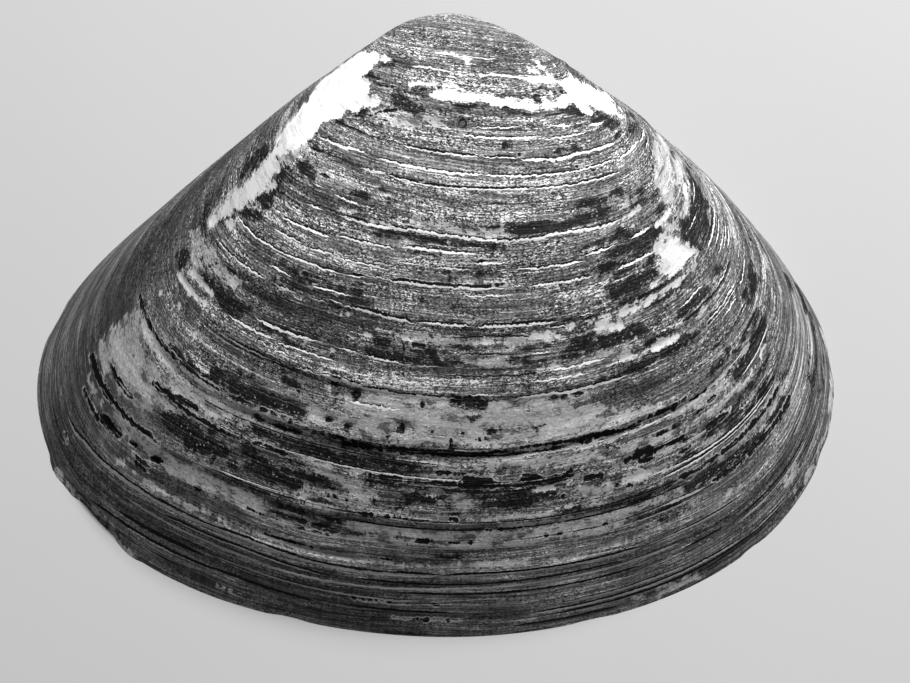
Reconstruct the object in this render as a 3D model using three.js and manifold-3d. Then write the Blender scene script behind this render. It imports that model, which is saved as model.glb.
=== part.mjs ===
// One valve of a large clam, lying on its margin with its domed outside up.
// The part is grown, not assembled: a single piece of shell with a chalky outside stepped by growth ledges, a
// smooth hollow inside, and a hinge plate with teeth under the beak.
// Millimetres. +Z is up, +Y points to the beak, +X to the front end of the animal and -X to its rear end.
// The origin is on the surface that the shell lies on, under the middle of its bounding box.

import * as THREE from 'three';
import { mergeVertices } from 'three/addons/utils/BufferGeometryUtils.js';
import Module from 'manifold-3d';

// Driving dimensions

// How fast the shell grew: a turn of one radian about the hinge line enlarges the margin by e to this power.
const GROWTH = 1.491;

// The margin of the grown shell, from the rear end of the hinge round the belly edge to its front end.
// These are the control points of a smooth curve, measured from the beak. The seventh is on the belly edge.
const GROWN_MARGIN = [
  [-2.1, 0], [-26.7, -15.4], [-48.7, -32.3], [-64.0, -51.5], [-56.9, -75.3], [-36.5, -90.0], [0.9, -97.2],
  [34.5, -91.0], [56.3, -76.2], [63.2, -51.5], [48.9, -30.3], [25.7, -9.4], [2.1, 0],
];

// The margin that the young shell had, enlarged to the same scale.
// Its front end was longer and its rear end blunter.
const YOUNG_MARGIN = [
  [-2.1, 0], [-30.7, -13.7], [-49.6, -29.6], [-53.4, -51.1], [-52.5, -68.6], [-30.0, -80.5], [3.9, -93.4],
  [42.1, -94.0], [75.1, -80.7], [87.2, -57.4], [68.8, -31.7], [36.3, -10.0], [2.1, 0],
];

const BELLY_POINT = 6;

// The size of the shell at the innermost ring that is drawn, as a share of the grown shell.
const BEAK_SIZE = 0.012;

// Places on the surface are given by two numbers: the place along the margin, counted in control points,
// and the size that the shell had when it grew there, as a share of the grown shell.

// Growth ledges: the size of the shell at each, and how far the older layer stands proud of the younger.
const LEDGES = [
  { size: 0.235, height: 0.12 },
  { size: 0.277, height: 0.20 },
  { size: 0.339, height: 0.16 },
  { size: 0.411, height: 0.20 },
  { size: 0.479, height: 0.32 },
  { size: 0.544, height: 0.20 },
  { size: 0.596, height: 0.28 },
  { size: 0.684, height: 0.30 },
  { size: 0.756, height: 0.42 },
  { size: 0.850, height: 0.28 },
  { size: 0.927, height: 0.24 },
];
const LEDGE_REACH = 0.035;
const LEDGE_WIDTH = 0.004;

// The relief starts this high above the plane of the margin.
const RELIEF_CLEARANCE = 3.0;

// The blunt ridge from the beak to the rear corner. It fades out towards the beak and the margin.
const RIDGE_AT = 3.66;
const RIDGE_WIDTH = 0.30;
const RIDGE_HEIGHT = 0.5;
const RIDGE_FADE_IN = [0.15, 0.60];
const RIDGE_FADE_OUT = [1.00, 0.88];

// Pits where the outer layer has worn through.
const PIT_DEPTH = 0.4;
const PITS = [
  { place: 7.45, size: 0.285, radius: 1.1 },
  { place: 6.24, size: 0.316, radius: 1.1 },
  { place: 5.32, size: 0.689, radius: 1.0 },
  { place: 5.76, size: 0.730, radius: 1.3 },
  { place: 5.46, size: 0.740, radius: 1.0 },
  { place: 3.93, size: 0.894, radius: 1.6 },
  { place: 4.38, size: 0.876, radius: 1.1 },
];

// The chipped stretch of the margin, at the rear corner.
const CHIP_FROM = 3.93;
const CHIP_TO = 4.47;
const CHIP_START = 0.984;
const CHIP_FLOOR = 0.990;
const CHIP_TAPER = 0.14;
const CHIP_DEPTH = 0.55;
const CHIP_SHARE = 0.7;

// The hollow inside follows its own spiral, further from the beak and flatter than the outside.
const HOLLOW_GROWTH = 1.58;
const HOLLOW_DRIFT = 0.85;
const HOLLOW_FROM_BEAK = 9.0;
const HOLLOW_DROP = 0.6;
const HOLLOW_MARGIN = [
  [-2.0, 0], [-23.5, -9.6], [-45.0, -25.0], [-62.2, -43.4], [-55.6, -65.4], [-35.8, -79.7], [0.9, -87.0],
  [34.0, -80.9], [55.0, -66.5], [61.5, -43.4], [46.0, -23.4], [23.4, -6.0], [2.0, 0],
];

// The hinge plate: a shelf under the beak, set back from the plane of the margin.
const PLATE_DEPTH = 2.2;
const PLATE_LIP = 1.3;
const PLATE_STEP = 0.2;
const PLATE_BEAK_GAP = 0.3;
const PLATE_REAR_END = 2.1;
const PLATE_FRONT_END = 9.9;
const PLATE_INNER_EDGE = [[26, -27], [0, -17], [-27, -29]];
const SPACE_OVERRUN = 1;

// The pit for the inner ligament, behind the beak.
const LIGAMENT_PIT = { x: -3.6, y: -5.2, length: 4.2, width: 2.1, depth: 2.0, turn: -0.42 };

// Hinge teeth: blades that stand on the plate. Each runs from one point to another.
const TOOTH_CREST = 0.45;
const TOOTH_ROOT = PLATE_DEPTH + 0.6;
const TOOTH_SLOPE = 1.3;
const TEETH = [
  { from: [0.4, -2.2], to: [0.2, -7.4], width: 1.0 },
  { from: [1.6, -2.0], to: [5.6, -5.6], width: 1.0 },
  { from: [-10.0, -7.3], to: [-24.0, -16.6], width: 0.9 },
  { from: [-9.4, -10.0], to: [-22.0, -18.8], width: 0.9 },
  { from: [9.6, -4.8], to: [23.0, -12.6], width: 0.9 },
  { from: [9.2, -7.6], to: [21.6, -15.0], width: 0.9 },
];

// How finely the surfaces are divided.
const STEPS_PER_SPAN = 6;
const HOLLOW_STEPS_PER_SPAN = 5;
const HOLLOW_RINGS = 15;
const HOLLOW_CROWDING = 1.5;
const PLAIN_RING_GAP = 0.040;
const PIT_SIDES = [12, 6];
const LIGAMENT_SIDES = [16, 10];
const SMALL_STEP = 0.002;

// A point on the smooth outline that a list of control points gives.
// The place runs from 0 to the number of the last point.
function outlinePoint(controls, place) {
  const last = controls.length - 1;
  const span = Math.min(Math.floor(place), last - 1);
  const t = place - span;
  const before = (i) => {
    if (i < 0) return [2 * controls[0][0] - controls[1][0], 2 * controls[0][1] - controls[1][1]];
    if (i > last) {
      return [
        2 * controls[last][0] - controls[last - 1][0],
        2 * controls[last][1] - controls[last - 1][1],
      ];
    }
    return controls[i];
  };
  const weights = [
    (1 - t) ** 3,
    3 * t ** 3 - 6 * t ** 2 + 4,
    -3 * t ** 3 + 3 * t ** 2 + 3 * t + 1,
    t ** 3,
  ];
  const sum = (axis) => weights.reduce((total, w, n) => total + w * before(span - 1 + n)[axis], 0) / 6;
  return new THREE.Vector2(sum(0), sum(1));
}

// A point on a shell that grew by turning and enlarging its margin about the hinge line.
function grownPoint(shape, place, size) {
  const grown = outlinePoint(shape.grown, place);
  const young = outlinePoint(shape.young, place);
  const outline = young.lerp(grown, size);
  const turn = -Math.log(size) / shape.growth;
  return new THREE.Vector3(
    size * outline.x,
    size * Math.cos(turn) * outline.y,
    -size * Math.sin(turn) * outline.y,
  );
}

// The outward direction of the surface there.
function outwardAt(shape, place, size) {
  const last = shape.grown.length - 1;
  const around = grownPoint(shape, Math.min(place + SMALL_STEP, last), size)
    .sub(grownPoint(shape, Math.max(place - SMALL_STEP, 0), size));
  const along = grownPoint(shape, place, size * (1 + SMALL_STEP))
    .sub(grownPoint(shape, place, size * (1 - SMALL_STEP)));
  return along.cross(around).normalize();
}

// A smooth rise from 0 to 1 as a value goes from one mark to another, up or down.
function rise(from, to, value) {
  const share = THREE.MathUtils.clamp((value - from) / (to - from), 0, 1);
  return share * share * (3 - 2 * share);
}

// How far the growth ledges lift the surface: each older layer thickens towards its edge and ends in a step.
function ledgeLift(size) {
  return LEDGES.reduce((lift, ledge) => {
    if (size > ledge.size) return lift;
    return lift + ledge.height * Math.exp((size - ledge.size) / LEDGE_REACH);
  }, 0);
}

// How far the rear ridge lifts the surface.
function ridgeLift(place, size) {
  const across = (place - RIDGE_AT) / RIDGE_WIDTH;
  const along = rise(...RIDGE_FADE_IN, size) * rise(...RIDGE_FADE_OUT, size);
  return RIDGE_HEIGHT * Math.exp(-across * across) * along;
}

// How much is broken away where the margin is chipped. A thin edge of shell is left above the margin's plane.
function chipCut(place, size, height) {
  const along = rise(CHIP_FROM, CHIP_FROM + CHIP_TAPER, place) * rise(CHIP_TO, CHIP_TO - CHIP_TAPER, place);
  return Math.min(CHIP_DEPTH, CHIP_SHARE * height) * along * rise(CHIP_START, CHIP_FLOOR, size);
}

// The whole outside relief. It dies away near the plane of the margin, which stays flat.
function outsideRelief(place, size, height) {
  const raised = (ledgeLift(size) + ridgeLift(place, size)) * rise(0, RELIEF_CLEARANCE, height);
  return raised - chipCut(place, size, height);
}

// The sizes at which the outside has a ring of points: both sides of each ledge, and evenly in between.
function outsideRings() {
  const marks = [1, 0.996, CHIP_FLOOR, CHIP_START, BEAK_SIZE];
  for (const ledge of LEDGES) {
    marks.push(ledge.size, ledge.size + LEDGE_WIDTH);
  }
  marks.sort((a, b) => b - a);
  const rings = [];
  marks.forEach((size, n) => {
    rings.push(size);
    if (n === marks.length - 1) return;
    const next = marks[n + 1];
    const gap = size - next;
    const pieces = Math.ceil(gap / PLAIN_RING_GAP);
    for (let k = 1; k < pieces; k += 1) rings.push(size - gap * k / pieces);
  });
  return rings;
}

// Rings for the hollow, closer together towards its margin and its innermost point.
function hollowRings() {
  const rings = [];
  for (let n = 0; n <= HOLLOW_RINGS; n += 1) {
    rings.push(BEAK_SIZE ** ((n / HOLLOW_RINGS) ** HOLLOW_CROWDING));
  }
  return rings;
}

// A closed solid between a grown surface, the plane of its margin, and a small cap where the spiral ends.
function grownSolid(shape, rings, stepsPerSpan, relief) {
  const columns = (shape.grown.length - 1) * stepsPerSpan;
  const positions = [];
  for (const size of rings) {
    for (let column = 0; column <= columns; column += 1) {
      const place = column / stepsPerSpan;
      const point = grownPoint(shape, place, size);
      const lift = relief(place, size, point.z);
      if (lift !== 0) point.addScaledVector(outwardAt(shape, place, size), lift);
      positions.push(point.x, point.y, point.z);
    }
  }
  const at = (ring, column) => ring * (columns + 1) + column;
  const faces = [];
  const quad = (a, b, c, d) => faces.push(a, b, c, a, c, d);
  for (let ring = 0; ring < rings.length - 1; ring += 1) {
    for (let column = 0; column < columns; column += 1) {
      quad(at(ring, column), at(ring, column + 1), at(ring + 1, column + 1), at(ring + 1, column));
    }
  }

  // The small cap where the spiral ends: a fan from the middle of the innermost ring.
  const inner = rings.length - 1;
  const tip = grownPoint(shape, BELLY_POINT, rings[inner]).multiplyScalar(0.5);
  const tipIndex = positions.length / 3;
  positions.push(tip.x, tip.y, tip.z);
  for (let column = 0; column < columns; column += 1) {
    faces.push(at(inner, column), at(inner, column + 1), tipIndex);
  }
  faces.push(at(inner, columns), at(inner, 0), tipIndex);

  // The flat underside: a fan from its middle over the margin and both runs of points on the hinge line.
  const middleIndex = positions.length / 3;
  positions.push(0, shape.grown[BELLY_POINT][1] / 2, 0);
  const loop = [];
  for (let column = 0; column <= columns; column += 1) loop.push(at(0, column));
  for (let ring = 1; ring <= inner; ring += 1) loop.push(at(ring, columns));
  for (let ring = inner; ring >= 1; ring -= 1) loop.push(at(ring, 0));
  loop.forEach((index, n) => faces.push(loop[(n + 1) % loop.length], index, middleIndex));

  const geometry = new THREE.BufferGeometry();
  geometry.setAttribute('position', new THREE.Float32BufferAttribute(positions, 3));
  geometry.setIndex(faces);
  return geometry;
}

// The outside of the valve, filled down to the plane of its margin.
const OUTSIDE = { growth: GROWTH, grown: GROWN_MARGIN, young: YOUNG_MARGIN };

function outsideSolid() {
  return grownSolid(OUTSIDE, outsideRings(), STEPS_PER_SPAN, outsideRelief);
}

// One worn pit: a flattened ball centred on the outside surface.
function wornPit({ place, size, radius }) {
  const geometry = new THREE.SphereGeometry(radius, ...PIT_SIDES);
  geometry.rotateX(Math.PI / 2);
  geometry.scale(1, 1, PIT_DEPTH / radius);
  const point = grownPoint(OUTSIDE, place, size);
  const outward = outwardAt(OUTSIDE, place, size);
  point.addScaledVector(outward, outsideRelief(place, size, point.z));
  const turn = new THREE.Quaternion().setFromUnitVectors(new THREE.Vector3(0, 0, 1), outward);
  return geometry.applyQuaternion(turn).translate(point.x, point.y, point.z);
}

// The space inside the valve. It starts a little below the margin, so the rim is left flat.
function hollowSolid() {
  const young = HOLLOW_MARGIN.map(([x, y], n) => [
    x + HOLLOW_DRIFT * (YOUNG_MARGIN[n][0] - GROWN_MARGIN[n][0]),
    y + HOLLOW_DRIFT * (YOUNG_MARGIN[n][1] - GROWN_MARGIN[n][1]),
  ]);
  const shape = { growth: HOLLOW_GROWTH, grown: HOLLOW_MARGIN, young };
  const geometry = grownSolid(shape, hollowRings(), HOLLOW_STEPS_PER_SPAN, () => 0);
  return geometry.translate(0, -HOLLOW_FROM_BEAK, -HOLLOW_DROP);
}

// A point set in from the margin by the width of the lip round the hinge plate.
function insideLip(place) {
  const here = outlinePoint(GROWN_MARGIN, place);
  const along = outlinePoint(GROWN_MARGIN, place + SMALL_STEP)
    .sub(outlinePoint(GROWN_MARGIN, place - SMALL_STEP))
    .normalize();
  return here.add(new THREE.Vector2(-along.y, along.x).multiplyScalar(PLATE_LIP));
}

// The space above the hinge plate, open to the hollow and to the plane of the margin.
function plateSpace() {
  const outline = [];
  for (let place = PLATE_REAR_END; place > PLATE_BEAK_GAP; place -= PLATE_STEP) {
    outline.push(insideLip(place));
  }
  outline.push(new THREE.Vector2(-PLATE_LIP, -PLATE_LIP), new THREE.Vector2(PLATE_LIP, -PLATE_LIP));
  const last = GROWN_MARGIN.length - 1;
  for (let place = last - PLATE_BEAK_GAP; place > PLATE_FRONT_END; place -= PLATE_STEP) {
    outline.push(insideLip(place));
  }
  for (const [x, y] of PLATE_INNER_EDGE) outline.push(new THREE.Vector2(x, y));
  const depth = PLATE_DEPTH + SPACE_OVERRUN;
  const geometry = new THREE.ExtrudeGeometry(new THREE.Shape(outline), { depth, bevelEnabled: false });
  return geometry.translate(0, 0, -SPACE_OVERRUN);
}

// The pit for the inner ligament: a long rounded hollow in the hinge plate.
function ligamentPit() {
  const { x, y, width, length, depth, turn } = LIGAMENT_PIT;
  const geometry = new THREE.SphereGeometry(1, ...LIGAMENT_SIDES);
  geometry.scale(width, length, depth);
  return geometry.rotateZ(turn).translate(x, y, PLATE_DEPTH);
}

// One hinge tooth: a blade with sloping ends, rooted in the hinge plate.
function tooth({ from, to, width }) {
  const run = new THREE.Vector2(to[0] - from[0], to[1] - from[1]);
  const length = run.length();
  const side = new THREE.Shape();
  side.moveTo(0, TOOTH_ROOT);
  side.lineTo(TOOTH_SLOPE, TOOTH_CREST);
  side.lineTo(length - TOOTH_SLOPE, TOOTH_CREST);
  side.lineTo(length, TOOTH_ROOT);
  side.closePath();
  const geometry = new THREE.ExtrudeGeometry(side, { depth: width, bevelEnabled: false });
  geometry.translate(0, 0, -width / 2);
  geometry.rotateX(Math.PI / 2);
  geometry.rotateZ(run.angle());
  return geometry.translate(from[0], from[1], 0);
}

// A closed mesh as a solid that can be joined and cut.
function toSolid(wasm, geometry) {
  const bare = geometry.clone();
  for (const name of ['normal', 'uv']) bare.deleteAttribute(name);
  const merged = mergeVertices(bare);
  return new wasm.Manifold(new wasm.Mesh({
    numProp: 3,
    vertProperties: new Float32Array(merged.attributes.position.array),
    triVerts: new Uint32Array(merged.index.array),
  }));
}

// The finished solid as a mesh geometry.
function toGeometry(solid) {
  const mesh = solid.getMesh();
  const geometry = new THREE.BufferGeometry();
  geometry.setAttribute('position', new THREE.Float32BufferAttribute(mesh.vertProperties, 3));
  geometry.setIndex(Array.from(mesh.triVerts));
  return geometry;
}

const wasm = await Module();
wasm.setup();

let shell = toSolid(wasm, outsideSolid());
for (const space of [hollowSolid(), plateSpace(), ligamentPit(), ...PITS.map(wornPit)]) {
  shell = shell.subtract(toSolid(wasm, space));
}
for (const blade of TEETH) {
  shell = shell.add(toSolid(wasm, tooth(blade)));
}

const geometry = toGeometry(shell);
geometry.computeVertexNormals();
geometry.computeBoundingBox();

const shellMaterial = new THREE.MeshStandardMaterial({ color: 0x8f8f8d, roughness: 0.5, metalness: 0 });
const valve = new THREE.Mesh(geometry, shellMaterial);
valve.name = 'valve';
const middle = geometry.boundingBox.getCenter(new THREE.Vector3());
valve.position.set(-middle.x, -middle.y, -geometry.boundingBox.min.z);

const clam = new THREE.Group();
clam.add(valve);

export default clam;
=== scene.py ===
# %% [markdown]
# # One valve of a large clam, old and weathered
# The shell lies on its margin with its domed outside up. It is one grown piece, so it is made here as one
# closed mesh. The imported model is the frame: it gives the size and the place, and this script gives the
# finish. Everything below is worked out in millimetres and turned into metres at the end.

# %% Load the frame
import functools
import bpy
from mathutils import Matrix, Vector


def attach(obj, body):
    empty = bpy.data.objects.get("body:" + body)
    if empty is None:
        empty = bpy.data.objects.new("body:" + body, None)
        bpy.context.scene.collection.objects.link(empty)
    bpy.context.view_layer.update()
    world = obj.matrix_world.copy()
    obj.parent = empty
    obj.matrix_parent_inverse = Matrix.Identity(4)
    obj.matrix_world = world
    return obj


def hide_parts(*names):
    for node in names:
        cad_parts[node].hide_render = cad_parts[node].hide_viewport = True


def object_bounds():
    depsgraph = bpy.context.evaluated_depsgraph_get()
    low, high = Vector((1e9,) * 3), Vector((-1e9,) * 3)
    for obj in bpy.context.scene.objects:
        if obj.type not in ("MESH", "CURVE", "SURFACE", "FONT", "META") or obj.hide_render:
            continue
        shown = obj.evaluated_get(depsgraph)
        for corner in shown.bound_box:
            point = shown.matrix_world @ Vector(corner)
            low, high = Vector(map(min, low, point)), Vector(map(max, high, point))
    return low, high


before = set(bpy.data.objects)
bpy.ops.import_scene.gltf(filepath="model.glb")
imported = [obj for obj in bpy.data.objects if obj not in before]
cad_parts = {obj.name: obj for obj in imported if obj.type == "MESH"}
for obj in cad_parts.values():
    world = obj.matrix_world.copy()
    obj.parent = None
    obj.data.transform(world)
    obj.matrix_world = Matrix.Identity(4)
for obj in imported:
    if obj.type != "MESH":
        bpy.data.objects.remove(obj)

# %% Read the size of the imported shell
from types import SimpleNamespace

import bmesh
import bpy
import numpy as np
from mathutils import Vector

METRE = 1000.0
cad_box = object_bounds()
cad_low = np.array(cad_box[0]) * METRE
cad_high = np.array(cad_box[1]) * METRE
print("packed shell, mm:", np.round(cad_high - cad_low, 2))

# %% [markdown]
# ## How a shell grows
# A clam adds new shell only along its margin, and the margin turns about the hinge while it grows. So every
# spot on the outside is given by two numbers: its place along the margin, and the size that the shell had
# when it grew there. One could sculpt such a dome by hand. The growth rule gives the real curve at once, and
# it lets each mark be put down by the growth line that it lies on.

# %% The margin and its growth
GROWTH = 1.491
GROWN_MARGIN = np.array([
    (-2.1, 0), (-26.7, -15.4), (-48.7, -32.3), (-64.0, -51.5), (-56.9, -75.3), (-36.5, -90.0), (0.9, -97.2),
    (34.5, -91.0), (56.3, -76.2), (63.2, -51.5), (48.9, -30.3), (25.7, -9.4), (2.1, 0),
])
YOUNG_MARGIN = np.array([
    (-2.1, 0), (-30.7, -13.7), (-49.6, -29.6), (-53.4, -51.1), (-52.5, -68.6), (-30.0, -80.5), (3.9, -93.4),
    (42.1, -94.0), (75.1, -80.7), (87.2, -57.4), (68.8, -31.7), (36.3, -10.0), (2.1, 0),
])
BELLY = 6
LAST_PLACE = len(GROWN_MARGIN) - 1
BEAK_SIZE = 0.012


def smooth_curve(controls, place):
    """A point on the smooth outline through a row of control points, for a place from 0 to the last."""
    ends = np.vstack([2 * controls[:1] - controls[1:2], controls, 2 * controls[-1:] - controls[-2:-1]])
    span = np.clip(place.astype(int), 0, len(controls) - 2)
    t = (place - span)[..., None]
    weights = ((1 - t) ** 3, 3 * t ** 3 - 6 * t ** 2 + 4, -3 * t ** 3 + 3 * t ** 2 + 3 * t + 1, t ** 3)
    return sum(weight * ends[span + n] for n, weight in enumerate(weights)) / 6


def grown(place, size, old=GROWN_MARGIN, young=YOUNG_MARGIN, growth=GROWTH):
    """The point, in mm from the hinge, where a place of the margin was when the shell had that size."""
    share = size[..., None]
    outline = share * smooth_curve(old, place) + (1 - share) * smooth_curve(young, place)
    turn = -np.log(size) / growth
    y = size * np.cos(turn) * outline[..., 1]
    z = -size * np.sin(turn) * outline[..., 1]
    return np.stack([size * outline[..., 0], y, z], -1)


def rise(low, high, value):
    """A smooth rise from 0 to 1 as a value goes from one mark to another, up or down."""
    share = np.clip((value - low) / (high - low), 0, 1)
    return share * share * (3 - 2 * share)


print("control points of the grown margin span, mm:", np.round(np.ptp(GROWN_MARGIN, axis=0), 1))

# %% [markdown]
# ## The net of points
# The outside is a net: rows are growth lines, and columns run from the beak to the margin. Rows lie half a
# millimetre apart, so the ledges get real steps. Columns lie about a millimetre apart at the margin and
# closer by the hinge, where the teeth are small.

# %% Rows and columns
ROWS = 250
COLUMNS = 300
HINGE_CROWDING = 2.2
HINGE_REACH = 0.45
OUTLINE_SAMPLES = 4801

finely = np.linspace(0, LAST_PLACE, OUTLINE_SAMPLES)
steps = np.linalg.norm(np.diff(smooth_curve(GROWN_MARGIN, finely), axis=0), axis=1)
from_hinge = np.minimum(finely, LAST_PLACE - finely)[1:]
weight = steps * (1 + HINGE_CROWDING * np.exp(-(from_hinge / HINGE_REACH) ** 2))
travelled = np.concatenate([[0], np.cumsum(weight)])
places = np.interp(np.linspace(0, travelled[-1], COLUMNS + 1), travelled, finely)
sizes = np.linspace(1, BEAK_SIZE, ROWS + 1)
place, size = np.meshgrid(places, sizes)

arc = np.concatenate([[0], np.cumsum(steps)])
along_margin = np.interp(places, finely, arc) - np.interp(BELLY, finely, arc)
GROWTH_PATH = 116.8
print("margin length, mm:", round(arc[-1], 1), "rows apart, mm:", round(GROWTH_PATH / ROWS, 2))

# %% [markdown]
# ## Growth lines that drift
# The growth lines don't keep to one size all the way round. In the young shell they tilt a little towards
# the front. Near the rear corner the latest ones sag, and on the front slope a few lie closer to the beak.
# This drift is a small size taken off.

# %% The drift of the growth lines
TILT = 0.0112
TILT_LIMIT = 2.4
TILT_FADES = (0.54, 0.42)
SAG_PLACES = (2.6, 3.55, 4.0, 4.25, 4.5, 4.9, 5.4, 6.0)
SAG = (0.020, 0.026, 0.018, 0.011, 0.003, -0.001, 0.003, 0.0)
SAG_STARTS, SAG_ENDS = (0.76, 0.86), (1.0, 0.975)
DIP = -0.008
DIP_REAR, DIP_FRONT = (6.2, 7.2), (8.6, 7.8)
DIP_STARTS, DIP_ENDS = (0.66, 0.75), (0.84, 0.77)


def line_drift(place, size):
    """How much larger than at the belly the shell is where the same growth line crosses this place."""
    tilt = TILT * np.clip(place - BELLY, -TILT_LIMIT, TILT_LIMIT) * rise(*TILT_FADES, size)
    sag = np.interp(place, SAG_PLACES, SAG) * rise(*SAG_STARTS, size) * rise(*SAG_ENDS, size)
    dip = DIP * rise(*DIP_REAR, place) * rise(*DIP_FRONT, place)
    return tilt + sag + dip * rise(*DIP_STARTS, size) * rise(*DIP_ENDS, size)


# %% Random hills, and the growth that wanders with them: reach along, reach across and height, in mm
WANDER = ((9.0, 6.0, 0.26), (3.2, 3.0, 0.10))
WANDER_SEED = 10
RAGGED_CELLS = 128


def ragged(x, y, seed):
    """Random hills between -1 and 1 on a net one unit apart, the same on every run."""
    cells = np.random.default_rng(seed).uniform(-1, 1, (RAGGED_CELLS, RAGGED_CELLS))
    column, row = np.floor(x).astype(int), np.floor(y).astype(int)
    across, up = x - column, y - row
    across, up = across * across * (3 - 2 * across), up * up * (3 - 2 * up)
    left, right = column % RAGGED_CELLS, (column + 1) % RAGGED_CELLS
    low, high = row % RAGGED_CELLS, (row + 1) % RAGGED_CELLS
    below = cells[low, left] * (1 - across) + cells[low, right] * across
    above = cells[high, left] * (1 - across) + cells[high, right] * across
    return below * (1 - up) + above * up


bare = grown(place, size)
along = along_margin[None, :] * size
drift = GROWTH_PATH * line_drift(place, size)
growth = GROWTH_PATH * (size - line_drift(place, size))
for n, (reach_along, reach_across, amount) in enumerate(WANDER):
    growth = growth + amount * ragged(along / reach_along, growth / reach_across, WANDER_SEED + n)
print("growth from beak to margin, mm:", round(float(growth.max()), 1))
print("drift of the growth lines, mm:", round(float(drift.min()), 2), "to", round(float(drift.max()), 2))
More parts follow.
